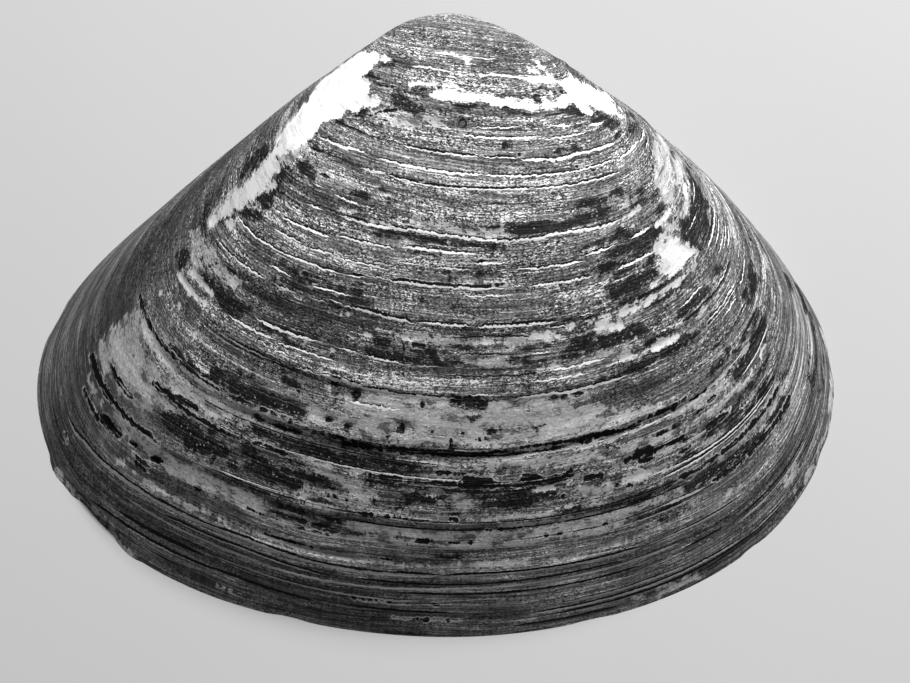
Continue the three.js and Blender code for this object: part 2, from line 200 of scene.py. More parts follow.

# %% [markdown]
# ## Where the skin has worn off
# A living clam has a dark skin. On this old valve it has flaked away in patches: chalk white on the ridges,
# pale and smooth where a thin layer is left, dark where the skin still holds, and black in the deep steps:
# dirt there, and painted shadow.
# Each patch is drawn as a few brush strokes on the growth net, and every point of the mesh then learns how
# far inside the nearest stroke it is. A painted image would do too, but strokes follow the growth lines and
# stay sharp at any distance. Each mark was read from the photograph.
#
# In all lists of marks, places are in hundredths and sizes in thousandths. A stroke is its half width in mm
# and then the spots that it runs through, each as place and size.

# %% Chalk white strokes
WHITE_STROKES = (
    # the patch on the rear ridge
    (2, 340, 232, 325, 262), (2.2, 330, 262, 305, 305), (2, 350, 290, 330, 325),
    (1.7, 352, 350, 355, 410), (3, 395, 243, 360, 285), (0.8, 475, 216.5, 410, 215),
    (2.4, 445, 283, 390, 290), (0.9, 495, 298, 435, 292), (1.3, 460, 309, 420, 308),
    (2.9, 415, 318, 365, 345), (2.6, 385, 350, 374, 400), (1.4, 374, 400, 374, 420),
    (1.2, 366, 424, 368, 465), (1.9, 372, 462, 370, 500), (1.8, 370, 500, 363, 530),
    (1.3, 362, 530, 354, 560), (0.9, 353, 560, 350, 588), (0.7, 395, 474, 397, 476),
    (0.5, 393, 485, 396, 487), (0.6, 380, 568, 376, 562), (0.3, 382, 547, 384, 549),
    (0.3, 376, 590, 392, 588),
    # the curl of flakes under it
    (0.45, 362, 676, 405, 668, 412, 658), (0.3, 412, 656, 405, 648), (0.4, 370, 655, 395, 652),
    (0.2, 352, 688, 374, 690), (0.2, 364, 705, 368, 706), (0.2, 380, 700, 390, 697),
    (0.2, 354, 720, 358, 721), (0.15, 374, 733, 382, 715),
    # the bands below the beak
    (0.12, 590, 196.5, 640, 199), (0.18, 630, 203, 655, 207.5), (0.2, 645, 218.5, 660, 220),
    (0.14, 660, 222.5, 685, 224.5), (0.14, 542, 209, 557, 207), (0.22, 620, 233.5, 675, 237.5),
    (0.25, 547, 257.5, 560, 255.5), (0.38, 560, 254.5, 590, 254), (0.25, 600, 256, 655, 263.5),
    (0.95, 590, 272.5, 635, 273.5), (0.75, 635, 273.5, 670, 279), (0.6, 670, 280, 700, 285),
    (0.8, 705, 290, 720, 294), (0.4, 715, 287, 730, 284), (0.7, 725, 299, 800, 300),
    (0.5, 752, 293, 800, 296), (0.3, 755, 283, 775, 281), (0.45, 755, 253, 805, 264),
    (0.3, 742, 232, 744, 232), (0.4, 762, 237, 775, 240), (0.35, 798, 224, 798, 250),
    (0.2, 815, 228, 817, 228), (0.25, 838, 235, 842, 235),
    # the patch on the front slope and the one below it
    (1, 888, 322, 918, 353), (0.9, 880, 330, 890, 360), (2, 835, 285, 850, 312, 875, 345),
    (0.9, 815, 272, 860, 278), (0.8, 812, 300, 816, 326), (1.3, 870, 305, 885, 330),
    (0.55, 878, 355, 884, 378), (0.3, 866, 534, 885, 522), (0.28, 800, 519, 840, 519),
    (0.14, 880, 540, 900, 528), (0.45, 787, 545, 805, 538), (0.75, 792, 552, 812, 551),
    (0.9, 793, 560, 812, 560), (0.9, 790, 570, 814, 569), (0.9, 784, 579, 818, 579),
    (0.45, 766, 587, 828, 586.5), (0.12, 770, 502, 790, 502), (0.22, 770, 486, 795, 486),
    (0.3, 766, 494, 768, 494), (0.35, 687, 603, 730, 602), (0.55, 727, 604, 750, 604),
    (0.3, 750, 602.5, 803, 601.5), (0.2, 805, 600, 830, 599), (0.75, 710, 613, 727, 618),
    (0.2, 785, 613.5, 792, 613.5), (0.25, 822, 618, 830, 618), (0.25, 898, 602, 910, 606),
    (0.2, 773, 651, 780, 651), (0.35, 720, 663.5, 750, 663.5), (0.6, 748, 664.5, 768, 665.5),
    (0.25, 770, 662.5, 820, 660.5),
    # the middle, beside the long bright lines
    (0.18, 500, 465, 514, 465), (0.15, 530, 470, 550, 470), (0.2, 570, 462, 580, 462),
    (0.12, 635, 474.5, 657, 474.5), (0.15, 602, 479, 605, 483), (0.15, 650, 483, 657, 486.5),
    (0.2, 487, 595.5, 493, 595.5), (0.2, 525, 599, 532, 599), (0.12, 540, 607, 542, 612),
    (0.15, 548, 609.5, 563, 609.5), (0.15, 545, 618.5, 552, 618.5), (0.45, 568, 614, 580, 613),
    (0.35, 620, 612, 638, 612), (0.35, 660, 610.5, 678, 611), (0.12, 642, 609, 647, 618),
    (0.14, 474, 628, 475, 628), (0.14, 479, 626, 480, 626), (0.16, 486, 630.5, 487, 630.5),
    (0.12, 491, 627.5, 492, 627.5), (0.12, 504, 627.5, 505, 627.5), (0.12, 535, 630.5, 536, 630.5),
    (0.12, 517, 650, 520, 652, 525, 649, 530, 646), (0.12, 403, 637, 408, 642.5, 412, 640),
    (0.4, 663, 648, 666, 654.5), (0.35, 662, 652, 675, 651), (0.15, 422, 710.5, 424, 710.5),
    (0.15, 414, 707, 416, 707), (0.12, 606, 707.5, 620, 704),
    # small bare spots above the great ledge, and the bright edge under it
    (0.3, 527, 690, 532, 702), (0.2, 534, 703, 542, 704), (0.26, 620, 762, 712, 762),
    (0.3, 672, 757, 678, 759), (0.3, 684, 755, 692, 756), (0.4, 713, 753, 720, 751),
    (0.15, 644, 756, 648, 756), (0.15, 654, 755, 666, 755), (0.2, 728, 761, 760, 757),
    (0.15, 760, 757, 780, 755), (0.28, 780, 754, 820, 752), (0.2, 810, 785, 827, 785),
    (0.12, 827, 785, 826, 793), (0.2, 828, 783, 836, 783), (0.18, 588, 767, 598, 767),
    (0.1, 597, 758, 600, 768), (0.12, 600, 770, 610, 770), (0.25, 612, 766, 614, 769),
    (0.14, 520, 759, 536, 766, 539, 761),
    # flakes on the belly
    (0.45, 424, 783, 437, 784), (0.2, 426, 776, 448, 773), (0.45, 446, 778, 460, 780),
    (0.22, 466, 773, 486, 775), (0.25, 457, 779, 464, 781), (0.16, 480, 779, 492, 782),
    (0.16, 492, 786, 503, 789), (0.12, 503, 789, 504, 796), (0.12, 504, 797, 513, 797),
    (0.16, 515, 790, 530, 791), (0.12, 530, 792, 560, 795), (0.2, 450, 792, 464, 794),
    (0.25, 486, 797, 489, 797), (0.14, 548, 807, 554, 814, 560, 806), (0.12, 538, 833, 553, 836),
    (0.12, 560, 836, 580, 836), (0.25, 540, 826, 550, 826), (0.14, 615, 785, 626, 786),
    (0.14, 627, 792, 642, 793), (0.12, 642, 793, 643, 787), (0.12, 635, 800, 643, 800),
    (0.16, 645, 809, 662, 809), (0.2, 590, 811, 598, 811), (0.25, 682, 818, 690, 817),
    (0.55, 700, 819, 714, 821), (0.12, 690, 829, 695, 832, 698, 826), (0.14, 658, 836, 668, 837),
    (0.3, 716, 827, 730, 829), (0.25, 775, 861, 776, 872), (0.25, 795, 860, 805, 862),
    (0.2, 810, 857, 822, 857), (0.14, 552, 879, 563, 879), (0.25, 772, 797, 786, 798),
    (0.15, 790, 809, 800, 809),
    # by the margin
    (0.28, 495, 900, 515, 900.5), (0.3, 515, 903, 540, 905.5), (0.35, 540, 905.5, 560, 905),
    (0.28, 560, 904.5, 600, 901.5), (0.3, 650, 902.5, 700, 901.5), (0.15, 755, 902, 770, 902),
)

# %% Pale strokes
PALE_STROKES = (
    (0.75, 538, 319.5, 564, 319.5), (0.75, 545, 311, 552, 311), (1, 885, 500, 906, 530),
    (0.8, 810, 527, 808, 545), (1.7, 386, 434, 390, 418), (1.1, 340, 624, 372, 638),
    (1, 352, 622, 424, 619), (1.4, 895, 464, 845, 478), (1.2, 845, 478, 840, 505),
    (1.2, 900, 490, 870, 500), (0.7, 572, 314, 595, 318), (0.9, 575, 463, 610, 465),
    (0.8, 610, 467, 660, 472), (1.2, 310, 250, 295, 320), (1.3, 332, 335, 338, 425),
    (1, 344, 540, 345, 565), (1.1, 345, 565, 347, 600), (1, 385, 420, 405, 400),
    (0.9, 521, 731, 528, 742), (0.9, 842, 540, 860, 536), (1.5, 875, 500, 920, 525),
    (1.3, 895, 470, 925, 485), (0.5, 860, 538, 880, 537), (0.3, 700, 986, 715, 986),
    (0.3, 795, 957, 815, 961), (0.4, 800, 987, 830, 990), (0.45, 830, 995, 920, 995),
    (0.6, 902, 762, 915, 770), (0.4, 775, 473, 797, 473), (0.4, 613, 533, 620, 538),
    (0.6, 812, 527, 820, 538), (0.3, 825, 506, 840, 506), (0.5, 808, 602, 830, 605),
    (0.3, 492, 648, 515, 648), (2.9, 560, 722, 668, 720), (1.3, 524, 735, 560, 735),
    (1.2, 545, 708, 570, 700), (1.1, 670, 707, 676, 708), (1.3, 675, 720, 692, 721),
    (1.1, 670, 733, 712, 732), (0.5, 708, 739, 734, 739), (0.8, 580, 695, 685, 694),
    (0.5, 670, 653, 725, 652), (0.7, 570, 611, 675, 612), (0.6, 612, 636, 642, 640),
    (0.45, 772, 618, 783, 618), (0.3, 698, 640, 720, 638), (0.35, 410, 913.5, 450, 905, 495, 899.5),
    (0.4, 600, 902, 700, 901.5), (0.3, 500, 985, 515, 985), (0.25, 412, 990, 425, 986),
    (0.3, 425, 986, 436, 986), (0.35, 436, 987, 448, 996), (0.5, 690, 988, 730, 990),
    (0.5, 380, 998, 450, 998),
    # the rear corner
    (0.8, 472, 861, 510, 861), (0.8, 472, 870, 512, 871), (2.2, 348, 800, 355, 842),
    (3.4, 355, 822, 400, 815), (0.6, 400, 812, 460, 806), (0.9, 350, 770, 420, 762),
    (0.7, 420, 759, 495, 758), (0.4, 480, 756, 507, 757), (0.6, 420, 768, 485, 766),
    (0.35, 488, 769, 520, 770), (0.8, 422, 780, 466, 779), (0.5, 352, 888, 375, 885),
    (1, 390, 877, 430, 868), (1.1, 430, 868, 466, 870), (1, 460, 864, 510, 865), (1, 466, 871, 506, 872),
    (0.3, 508, 866, 536, 867),
    # the belly
    (0.45, 520, 794, 556, 798), (0.6, 530, 803, 546, 807), (1.1, 546, 809, 564, 826),
    (0.6, 525, 829, 538, 829), (0.4, 526, 838, 536, 838), (0.35, 540, 838, 600, 839),
    (0.28, 570, 791, 588, 791), (0.28, 590, 791, 610, 791), (0.3, 590, 771, 600, 772),
    (0.3, 594, 780, 597, 780), (0.3, 605, 779, 608, 779), (1.15, 608, 812, 612, 828),
    (0.8, 620, 771, 690, 775), (0.5, 660, 779, 720, 779), (0.75, 674, 822, 690, 824),
    (0.75, 700, 821, 722, 824), (0.45, 615, 842, 685, 843), (0.4, 630, 853, 680, 853),
    (0.8, 555, 865, 690, 863), (0.4, 620, 871, 680, 871), (0.5, 556, 877, 690, 876),
    (0.6, 680, 861, 734, 863), (0.5, 750, 792, 760, 793), (0.5, 720, 803, 732, 803),
    (0.7, 740, 764, 790, 765), (0.6, 720, 785, 810, 787), (0.35, 760, 853, 840, 854),
    (0.4, 830, 860, 838, 864), (0.5, 750, 820, 770, 820),
)

# %% Dark strokes
DARK_STROKES = (
    # round the bands below the beak
    (0.35, 475, 226.5, 500, 226.5), (0.6, 445, 248, 480, 256), (1, 525, 287, 562, 300),
    (0.55, 470, 318.5, 482, 317.5), (0.5, 440, 339, 455, 343), (0.55, 780, 283, 798, 290),
    (0.25, 760, 273, 775, 276), (0.45, 625, 289, 655, 291), (0.4, 690, 294, 715, 303),
    (0.85, 780, 311, 802, 326), (0.45, 810, 342, 840, 350), (0.35, 820, 357, 840, 360),
    (0.6, 835, 368, 852, 376), (0.35, 735, 370, 765, 375), (0.55, 832, 347, 856, 374),
    (0.65, 872, 400, 894, 408), (0.55, 910, 402, 926, 412), (0.4, 912, 506, 924, 511),
    (0.75, 402, 452, 408, 502), (0.35, 536, 425, 539, 425), (0.4, 505, 437, 530, 437),
    (0.4, 540, 437, 555, 437), (0.8, 425, 428, 450, 434), (0.3, 430, 418, 445, 420),
    (0.5, 735, 449, 780, 452),
    # the middle
    (0.85, 658, 468.5, 755, 468.5), (0.4, 615, 460.5, 630, 460.5), (0.3, 638, 464, 645, 464),
    (0.35, 540, 484, 600, 484), (0.4, 610, 487, 650, 487), (0.25, 785, 477, 830, 484),
    (0.3, 795, 465, 810, 465), (0.3, 570, 502, 595, 502), (0.4, 475, 567, 535, 567),
    (0.5, 455, 581, 545, 581), (0.3, 458, 564, 470, 564), (0.25, 602, 523, 602, 530),
    (0.3, 625, 526, 627, 526), (0.95, 745, 528, 800, 526), (0.55, 730, 538, 785, 536),
    (0.25, 720, 507, 765, 507), (0.5, 760, 500, 772, 514), (0.25, 770, 508, 800, 508),
    (0.4, 805, 508, 825, 508), (0.6, 740, 553, 775, 556), (1.1, 730, 572, 770, 574),
    (0.3, 733, 589, 742, 589), (0.25, 864, 530, 866, 530), (0.8, 835, 552, 845, 556),
    (1.5, 832, 575, 880, 562), (0.5, 834, 590, 872, 588), (0.5, 878, 531, 900, 548),
    (0.9, 880, 562, 898, 546), (0.4, 910, 540, 936, 568), (0.5, 905, 705, 918, 730),
    (0.4, 915, 862, 930, 873), (0.4, 910, 908, 934, 922), (0.4, 900, 928, 920, 943),
    (0.15, 850, 905, 874, 900), (0.18, 860, 923, 880, 921), (0.18, 862, 950, 890, 953),
    # on the rear flank
    (0.4, 320, 608, 360, 612), (1, 323, 470, 345, 463), (0.5, 336, 480, 347, 500),
    (0.8, 319, 490, 333, 510), (1, 396, 498, 410, 494), (0.7, 404, 474, 412, 482),
    (0.8, 380, 537, 405, 524), (0.4, 360, 578, 368, 562), (0.3, 374, 552, 390, 552),
    (0.9, 390, 643, 430, 642), (0.9, 345, 660, 355, 664), (0.3, 400, 635, 450, 636),
    (0.7, 405, 646, 445, 650), (0.2, 405, 659, 409, 659),
    # between the middle and the great ledge
    (0.35, 460, 650, 490, 650), (0.25, 480, 655.5, 530, 655.5), (0.45, 500, 705, 513, 708),
    (0.25, 465, 716, 478, 716), (0.8, 450, 735, 516, 736), (0.5, 400, 745, 518, 746),
    (0.7, 555, 624, 563, 624), (0.45, 550, 639, 570, 639), (0.2, 570, 619.5, 575, 619.5),
    (0.35, 572, 629, 580, 629), (0.4, 588, 628, 595, 628), (0.3, 598, 627, 602, 627),
    (0.25, 605, 619.5, 617, 621), (0.3, 625, 620, 627, 620), (0.15, 645, 625, 670, 624.5),
    (0.25, 587, 634, 595, 641), (0.45, 572, 638, 583, 638), (0.3, 600, 639, 610, 639),
    (0.45, 645, 636, 665, 643), (0.45, 690, 622, 705, 622), (0.9, 685, 632, 740, 633),
    (0.35, 680, 643, 700, 643), (0.5, 700, 679, 740, 673), (0.7, 720, 677, 780, 675),
    (0.3, 785, 679, 820, 679), (0.3, 665, 691, 675, 691), (0.2, 680, 690, 685, 690),
    (0.35, 750, 609, 770, 609), (0.3, 770, 607, 805, 610), (0.6, 775, 642, 793, 640),
    (0.45, 805, 640, 840, 643), (0.4, 738, 642, 740, 642), (0.45, 740, 656, 765, 656),
    (0.35, 848, 709, 886, 711), (0.55, 850, 717, 878, 721), (0.3, 820, 739, 850, 739),
    (0.45, 780, 735, 795, 735), (0.55, 805, 735, 810, 745), (0.5, 800, 720, 805, 738),
    (0.75, 606, 689, 624, 692), (0.25, 615, 708.5, 620, 708.5), (0.3, 650, 724, 655, 728),
    # under the great ledge: dark skin, and the ledge's painted shadow
    (0.3, 490, 762, 518, 763), (0.85, 492, 778, 570, 783), (0.6, 510, 786, 585, 790),
    (0.3, 545, 764, 580, 766), (0.4, 560, 775, 585, 778), (0.85, 800, 766, 850, 764),
    # the belly
    (1.3, 440, 812, 475, 820), (0.8, 464, 806, 472, 835), (1, 430, 822, 460, 830),
    (0.9, 490, 802, 503, 815), (0.9, 500, 820, 525, 828), (0.5, 475, 828, 510, 830),
    (0.5, 520, 801, 530, 807), (0.5, 560, 803, 610, 804), (0.6, 510, 812, 545, 820),
    (0.55, 615, 805, 666, 806), (0.6, 580, 814, 596, 818), (0.5, 600, 815, 603, 828),
    (0.25, 576, 824, 583, 823), (0.5, 620, 814, 660, 817), (0.8, 622, 823, 644, 825),
    (0.5, 566, 833, 580, 834), (0.5, 605, 834, 609, 842), (0.5, 658, 840, 672, 844),
    (0.35, 675, 847, 725, 848), (0.3, 690, 840, 692, 842), (0.3, 700, 854, 726, 856),
    (0.3, 756, 812, 770, 812), (0.6, 774, 815, 796, 817), (0.5, 790, 822, 822, 822),
    (0.4, 738, 819, 746, 822), (0.3, 800, 800, 836, 799), (0.35, 760, 803, 800, 803),
    (0.75, 736, 864, 774, 867), (0.85, 780, 867, 828, 870), (0.3, 810, 842, 840, 841),
    (0.45, 534, 839, 556, 846), (0.5, 515, 872, 550, 875), (0.3, 550, 872, 562, 873),
    (0.3, 512, 860, 534, 861), (0.25, 538, 862, 550, 862), (0.3, 598, 893, 608, 894),
    (0.25, 700, 877, 727, 877), (0.3, 705, 892, 735, 891), (0.2, 490, 848, 530, 851),
)

# %% Black strokes: dirt, and painted shadow in the deep steps
BLACK_STROKES = (
    # round the bands below the beak
    (0.14, 490, 268, 515, 268), (0.3, 530, 306.5, 520, 307.5, 505, 314.5, 495, 321.5),
    (0.16, 508, 324.5, 525, 324.5), (0.25, 575, 404, 577, 404), (0.2, 501, 426, 503, 426),
    (0.25, 458, 426.5, 470, 426.5), (0.22, 748, 396.5, 758, 398), (0.3, 686, 364.5, 688, 364.5),
    (0.2, 712, 378, 714, 378), (0.2, 760, 276.5, 762, 276.5),
    # the middle
    (0.25, 485, 563.5, 500, 563.5), (0.15, 610, 507.5, 650, 507.5), (0.25, 638, 539, 645, 539),
    (0.15, 789, 568.5, 791, 568.5), (0.12, 825, 534, 840, 532, 850, 525), (0.4, 578, 621, 585, 622),
    (0.12, 630, 622.5, 645, 622.5), (0.12, 505, 712.5, 525, 714), (0.2, 617, 737.5, 627, 737.5),
    (0.2, 640, 738.5, 645, 738.5), (0.25, 604, 741, 604, 750), (0.2, 635, 748, 636, 748),
    # the great ledge, its step black with painted shadow
    (0.24, 508, 752, 536, 756), (0.38, 536, 756, 570, 758), (0.3, 545, 761, 582, 761),
    (0.4, 570, 758, 640, 758), (0.26, 640, 751.5, 695, 751), (0.2, 640, 758, 670, 760),
    (0.28, 677, 754, 684, 760), (0.34, 690, 753, 715, 755), (0.24, 715, 750, 755, 749),
    (0.3, 740, 751, 742, 755), (0.12, 756, 755, 774, 754), (0.3, 617, 768, 619, 769),
    (0.4, 335, 762, 375, 757), (0.22, 375, 757, 430, 751), (0.15, 430, 751, 510, 749),
    (0.28, 725, 777, 745, 777), (0.22, 750, 777, 762, 775), (0.25, 768, 771, 778, 771),
    (0.18, 368, 444, 386, 440), (0.2, 386, 440, 406, 440),
    # the dirt and painted shadow under the flakes
    (0.5, 406, 800, 414, 799), (0.35, 416, 795, 427, 798), (0.4, 430, 790, 448, 788),
    (0.35, 428, 797, 446, 798), (0.32, 445, 797, 478, 798), (0.35, 467, 791, 476, 793),
    (0.35, 493, 793, 514, 794), (0.25, 595, 783, 610, 784), (0.33, 562, 796, 610, 797),
    (0.48, 610, 790, 624, 793), (0.42, 610, 798, 670, 800), (0.5, 644, 792, 650, 795),
    (0.28, 650, 796, 672, 797), (0.3, 668, 788, 672, 795), (0.42, 677, 806, 686, 807),
    (0.22, 694, 796, 696, 797), (0.25, 700, 796, 720, 796), (0.42, 710, 790, 720, 790),
    (0.28, 722, 795, 745, 796), (0.45, 712, 802, 718, 805), (0.24, 747, 802, 780, 802),
    (0.3, 740, 801, 742, 802), (0.14, 736, 813, 750, 813), (0.22, 820, 827, 831, 827),
    (0.35, 692, 822, 695, 826), (0.28, 699, 831, 703, 832), (0.22, 710, 831, 713, 832),
    (0.22, 653, 826, 654, 832), (0.25, 662, 822, 664, 827), (0.16, 668, 822, 671, 823),
    (0.22, 550, 807, 557, 808), (0.2, 539, 832, 553, 833), (0.14, 526, 848, 533, 849),
    (0.22, 535, 848, 545, 848), (0.38, 559, 846, 565, 847), (0.32, 571, 845, 583, 845),
    (0.26, 590, 844, 594, 844), (0.28, 603, 843, 608, 844), (0.16, 616, 843, 618, 844),
    (0.16, 626, 843, 628, 844), (0.3, 732, 847, 760, 846), (0.3, 767, 846, 830, 844),
    (0.12, 620, 857, 640, 857), (0.14, 656, 858, 660, 858), (0.3, 752, 874, 774, 874),
    (0.32, 778, 874, 836, 876), (0.34, 587, 873, 595, 873), (0.2, 603, 873, 608, 873),
    (0.3, 612, 872, 616, 873), (0.22, 650, 872, 661, 872), (0.14, 663, 868, 665, 868),
    (0.1, 673, 873, 677, 873), (0.1, 680, 873, 700, 872), (0.16, 506, 878, 525, 879),
    (0.12, 525, 879, 550, 883), (0.3, 502, 876, 505, 876), (0.55, 435, 877, 440, 874),
    (0.4, 469, 879, 473, 877), (0.16, 479, 879, 481, 879), (0.2, 466, 862, 470, 863),
    (0.2, 420, 858, 433, 856), (0.2, 420, 899, 436, 897), (0.18, 420, 890, 436, 889),
    (0.7, 386, 892, 403, 887), (0.25, 356, 902, 386, 900), (0.35, 415, 881, 420, 879),
    (0.42, 362, 844, 395, 841), (0.5, 340, 875, 380, 868), (0.36, 380, 868, 425, 856),
    (0.16, 515, 900.5, 540, 902.5), (0.14, 560, 901.5, 590, 899.5), (0.25, 788, 284, 794, 285),
    (0.1, 560, 957, 600, 957), (0.1, 580, 977.5, 610, 977.5), (0.25, 366, 962, 371, 966),
)

# %% Round dark pits: radius in mm, place, size
PIT_SPOTS = (
    (0.65, 532, 689), (0.75, 546.5, 698), (0.6, 576, 728), (0.55, 574.5, 735), (0.4, 593, 731),
    (0.3, 598, 734), (0.42, 609, 731), (0.6, 626.5, 729), (0.5, 606, 689), (0.5, 605, 748),
    (0.6, 545, 741), (0.45, 534, 737), (0.4, 643, 727), (0.75, 624, 315), (0.7, 746, 284),
    (0.45, 672, 351), (0.3, 586, 697), (0.35, 568, 744), (0.4, 700, 730), (0.38, 591, 694),
    (0.4, 631, 727.5), (0.45, 650, 703), (0.45, 582, 562), (0.35, 606, 565), (0.25, 593, 261),
    (0.2, 393, 617), (0.18, 380, 621), (0.2, 362, 626), (0.2, 386, 628), (0.18, 346, 622),
    (0.18, 410, 625), (0.16, 404, 616), (0.16, 355, 637), (0.2, 372, 634), (0.25, 384, 424),
    (0.2, 656, 710.5), (0.18, 683, 703.5), (0.15, 668, 711), (0.15, 582, 728),
)

# %% Read a mark, and find the part of the net round it
PLACE_UNITS = 100
SIZE_UNITS = 1000
PLACE_LENGTH = 26.0
TINY = 1e-9


def read_mark(row, widths=1):
    """Splits a row of a list of marks into its widths, its places and its sizes."""
    return row[:widths], np.array(row[widths::2]) / PLACE_UNITS, np.array(row[widths + 1::2]) / SIZE_UNITS


def window_round(low_place, high_place, low_size, high_size, reach):
    """The part of the net that lies within reach, in mm, of a stretch of places and sizes."""
    across, sideways = reach / GROWTH_PATH, reach / PLACE_LENGTH / low_size
    rows = np.flatnonzero((sizes > low_size - across) & (sizes < high_size + across))
    columns = np.flatnonzero((places > low_place - sideways) & (places < high_place + sideways))
    return slice(rows[0], rows[-1] + 1), slice(columns[0], columns[-1] + 1)


def mm_from_curve(near, spots):
    """How far each point is from a curve through some spots in space."""
    nearest = np.full(near.shape[:2], np.inf)
    for start, end in zip(spots[:-1], spots[1:]):
        run = end - start
        share = np.clip(((near - start) @ run) / max(run @ run, TINY), 0, 1)
        nearest = np.minimum(nearest, np.linalg.norm(near - start - share[..., None] * run, axis=-1))
    return nearest


# %% How far inside a stroke each point lies
STROKE_STEP = 2.5
FIELD_REACH = 2.4
WINDOW_SLACK = 1.6
PIT_LENGTH = 0.1


def stroke_field(rows):
    """For each point of the outside, mm inside the nearest stroke. Outside all strokes it is below zero."""
    field = np.full(place.shape, -FIELD_REACH)
    for row in rows:
        (half_width,), stroke_places, stroke_sizes = read_mark(row)
        for n in range(len(stroke_places) - 1):
            place_a, place_b = stroke_places[n:n + 2]
            size_a, size_b = stroke_sizes[n:n + 2]
            low_place, high_place = sorted((place_a, place_b))
            low_size, high_size = sorted((size_a, size_b))
            length = (high_place - low_place) * PLACE_LENGTH * high_size
            length += (high_size - low_size) * GROWTH_PATH
            share = np.linspace(0, 1, int(np.ceil(length / STROKE_STEP)) + 1)
            spots = grown(place_a + share * (place_b - place_a), size_a + share * (size_b - size_a))
            reach = WINDOW_SLACK * (half_width + FIELD_REACH)
            window = window_round(low_place, high_place, low_size, high_size, reach)
            field[window] = np.maximum(field[window], half_width - mm_from_curve(bare[window], spots))
    return field


fields = {
    "white": stroke_field(WHITE_STROKES),
    "pale": stroke_field(PALE_STROKES),
    "dark": stroke_field(DARK_STROKES),
    "black": stroke_field(BLACK_STROKES),
    "pit": stroke_field([(*spot, spot[1] + PIT_LENGTH, spot[2]) for spot in PIT_SPOTS]),
}
for name, field in fields.items():
    print(name, "share of the outside:", round(float((field > 0).mean()), 3))
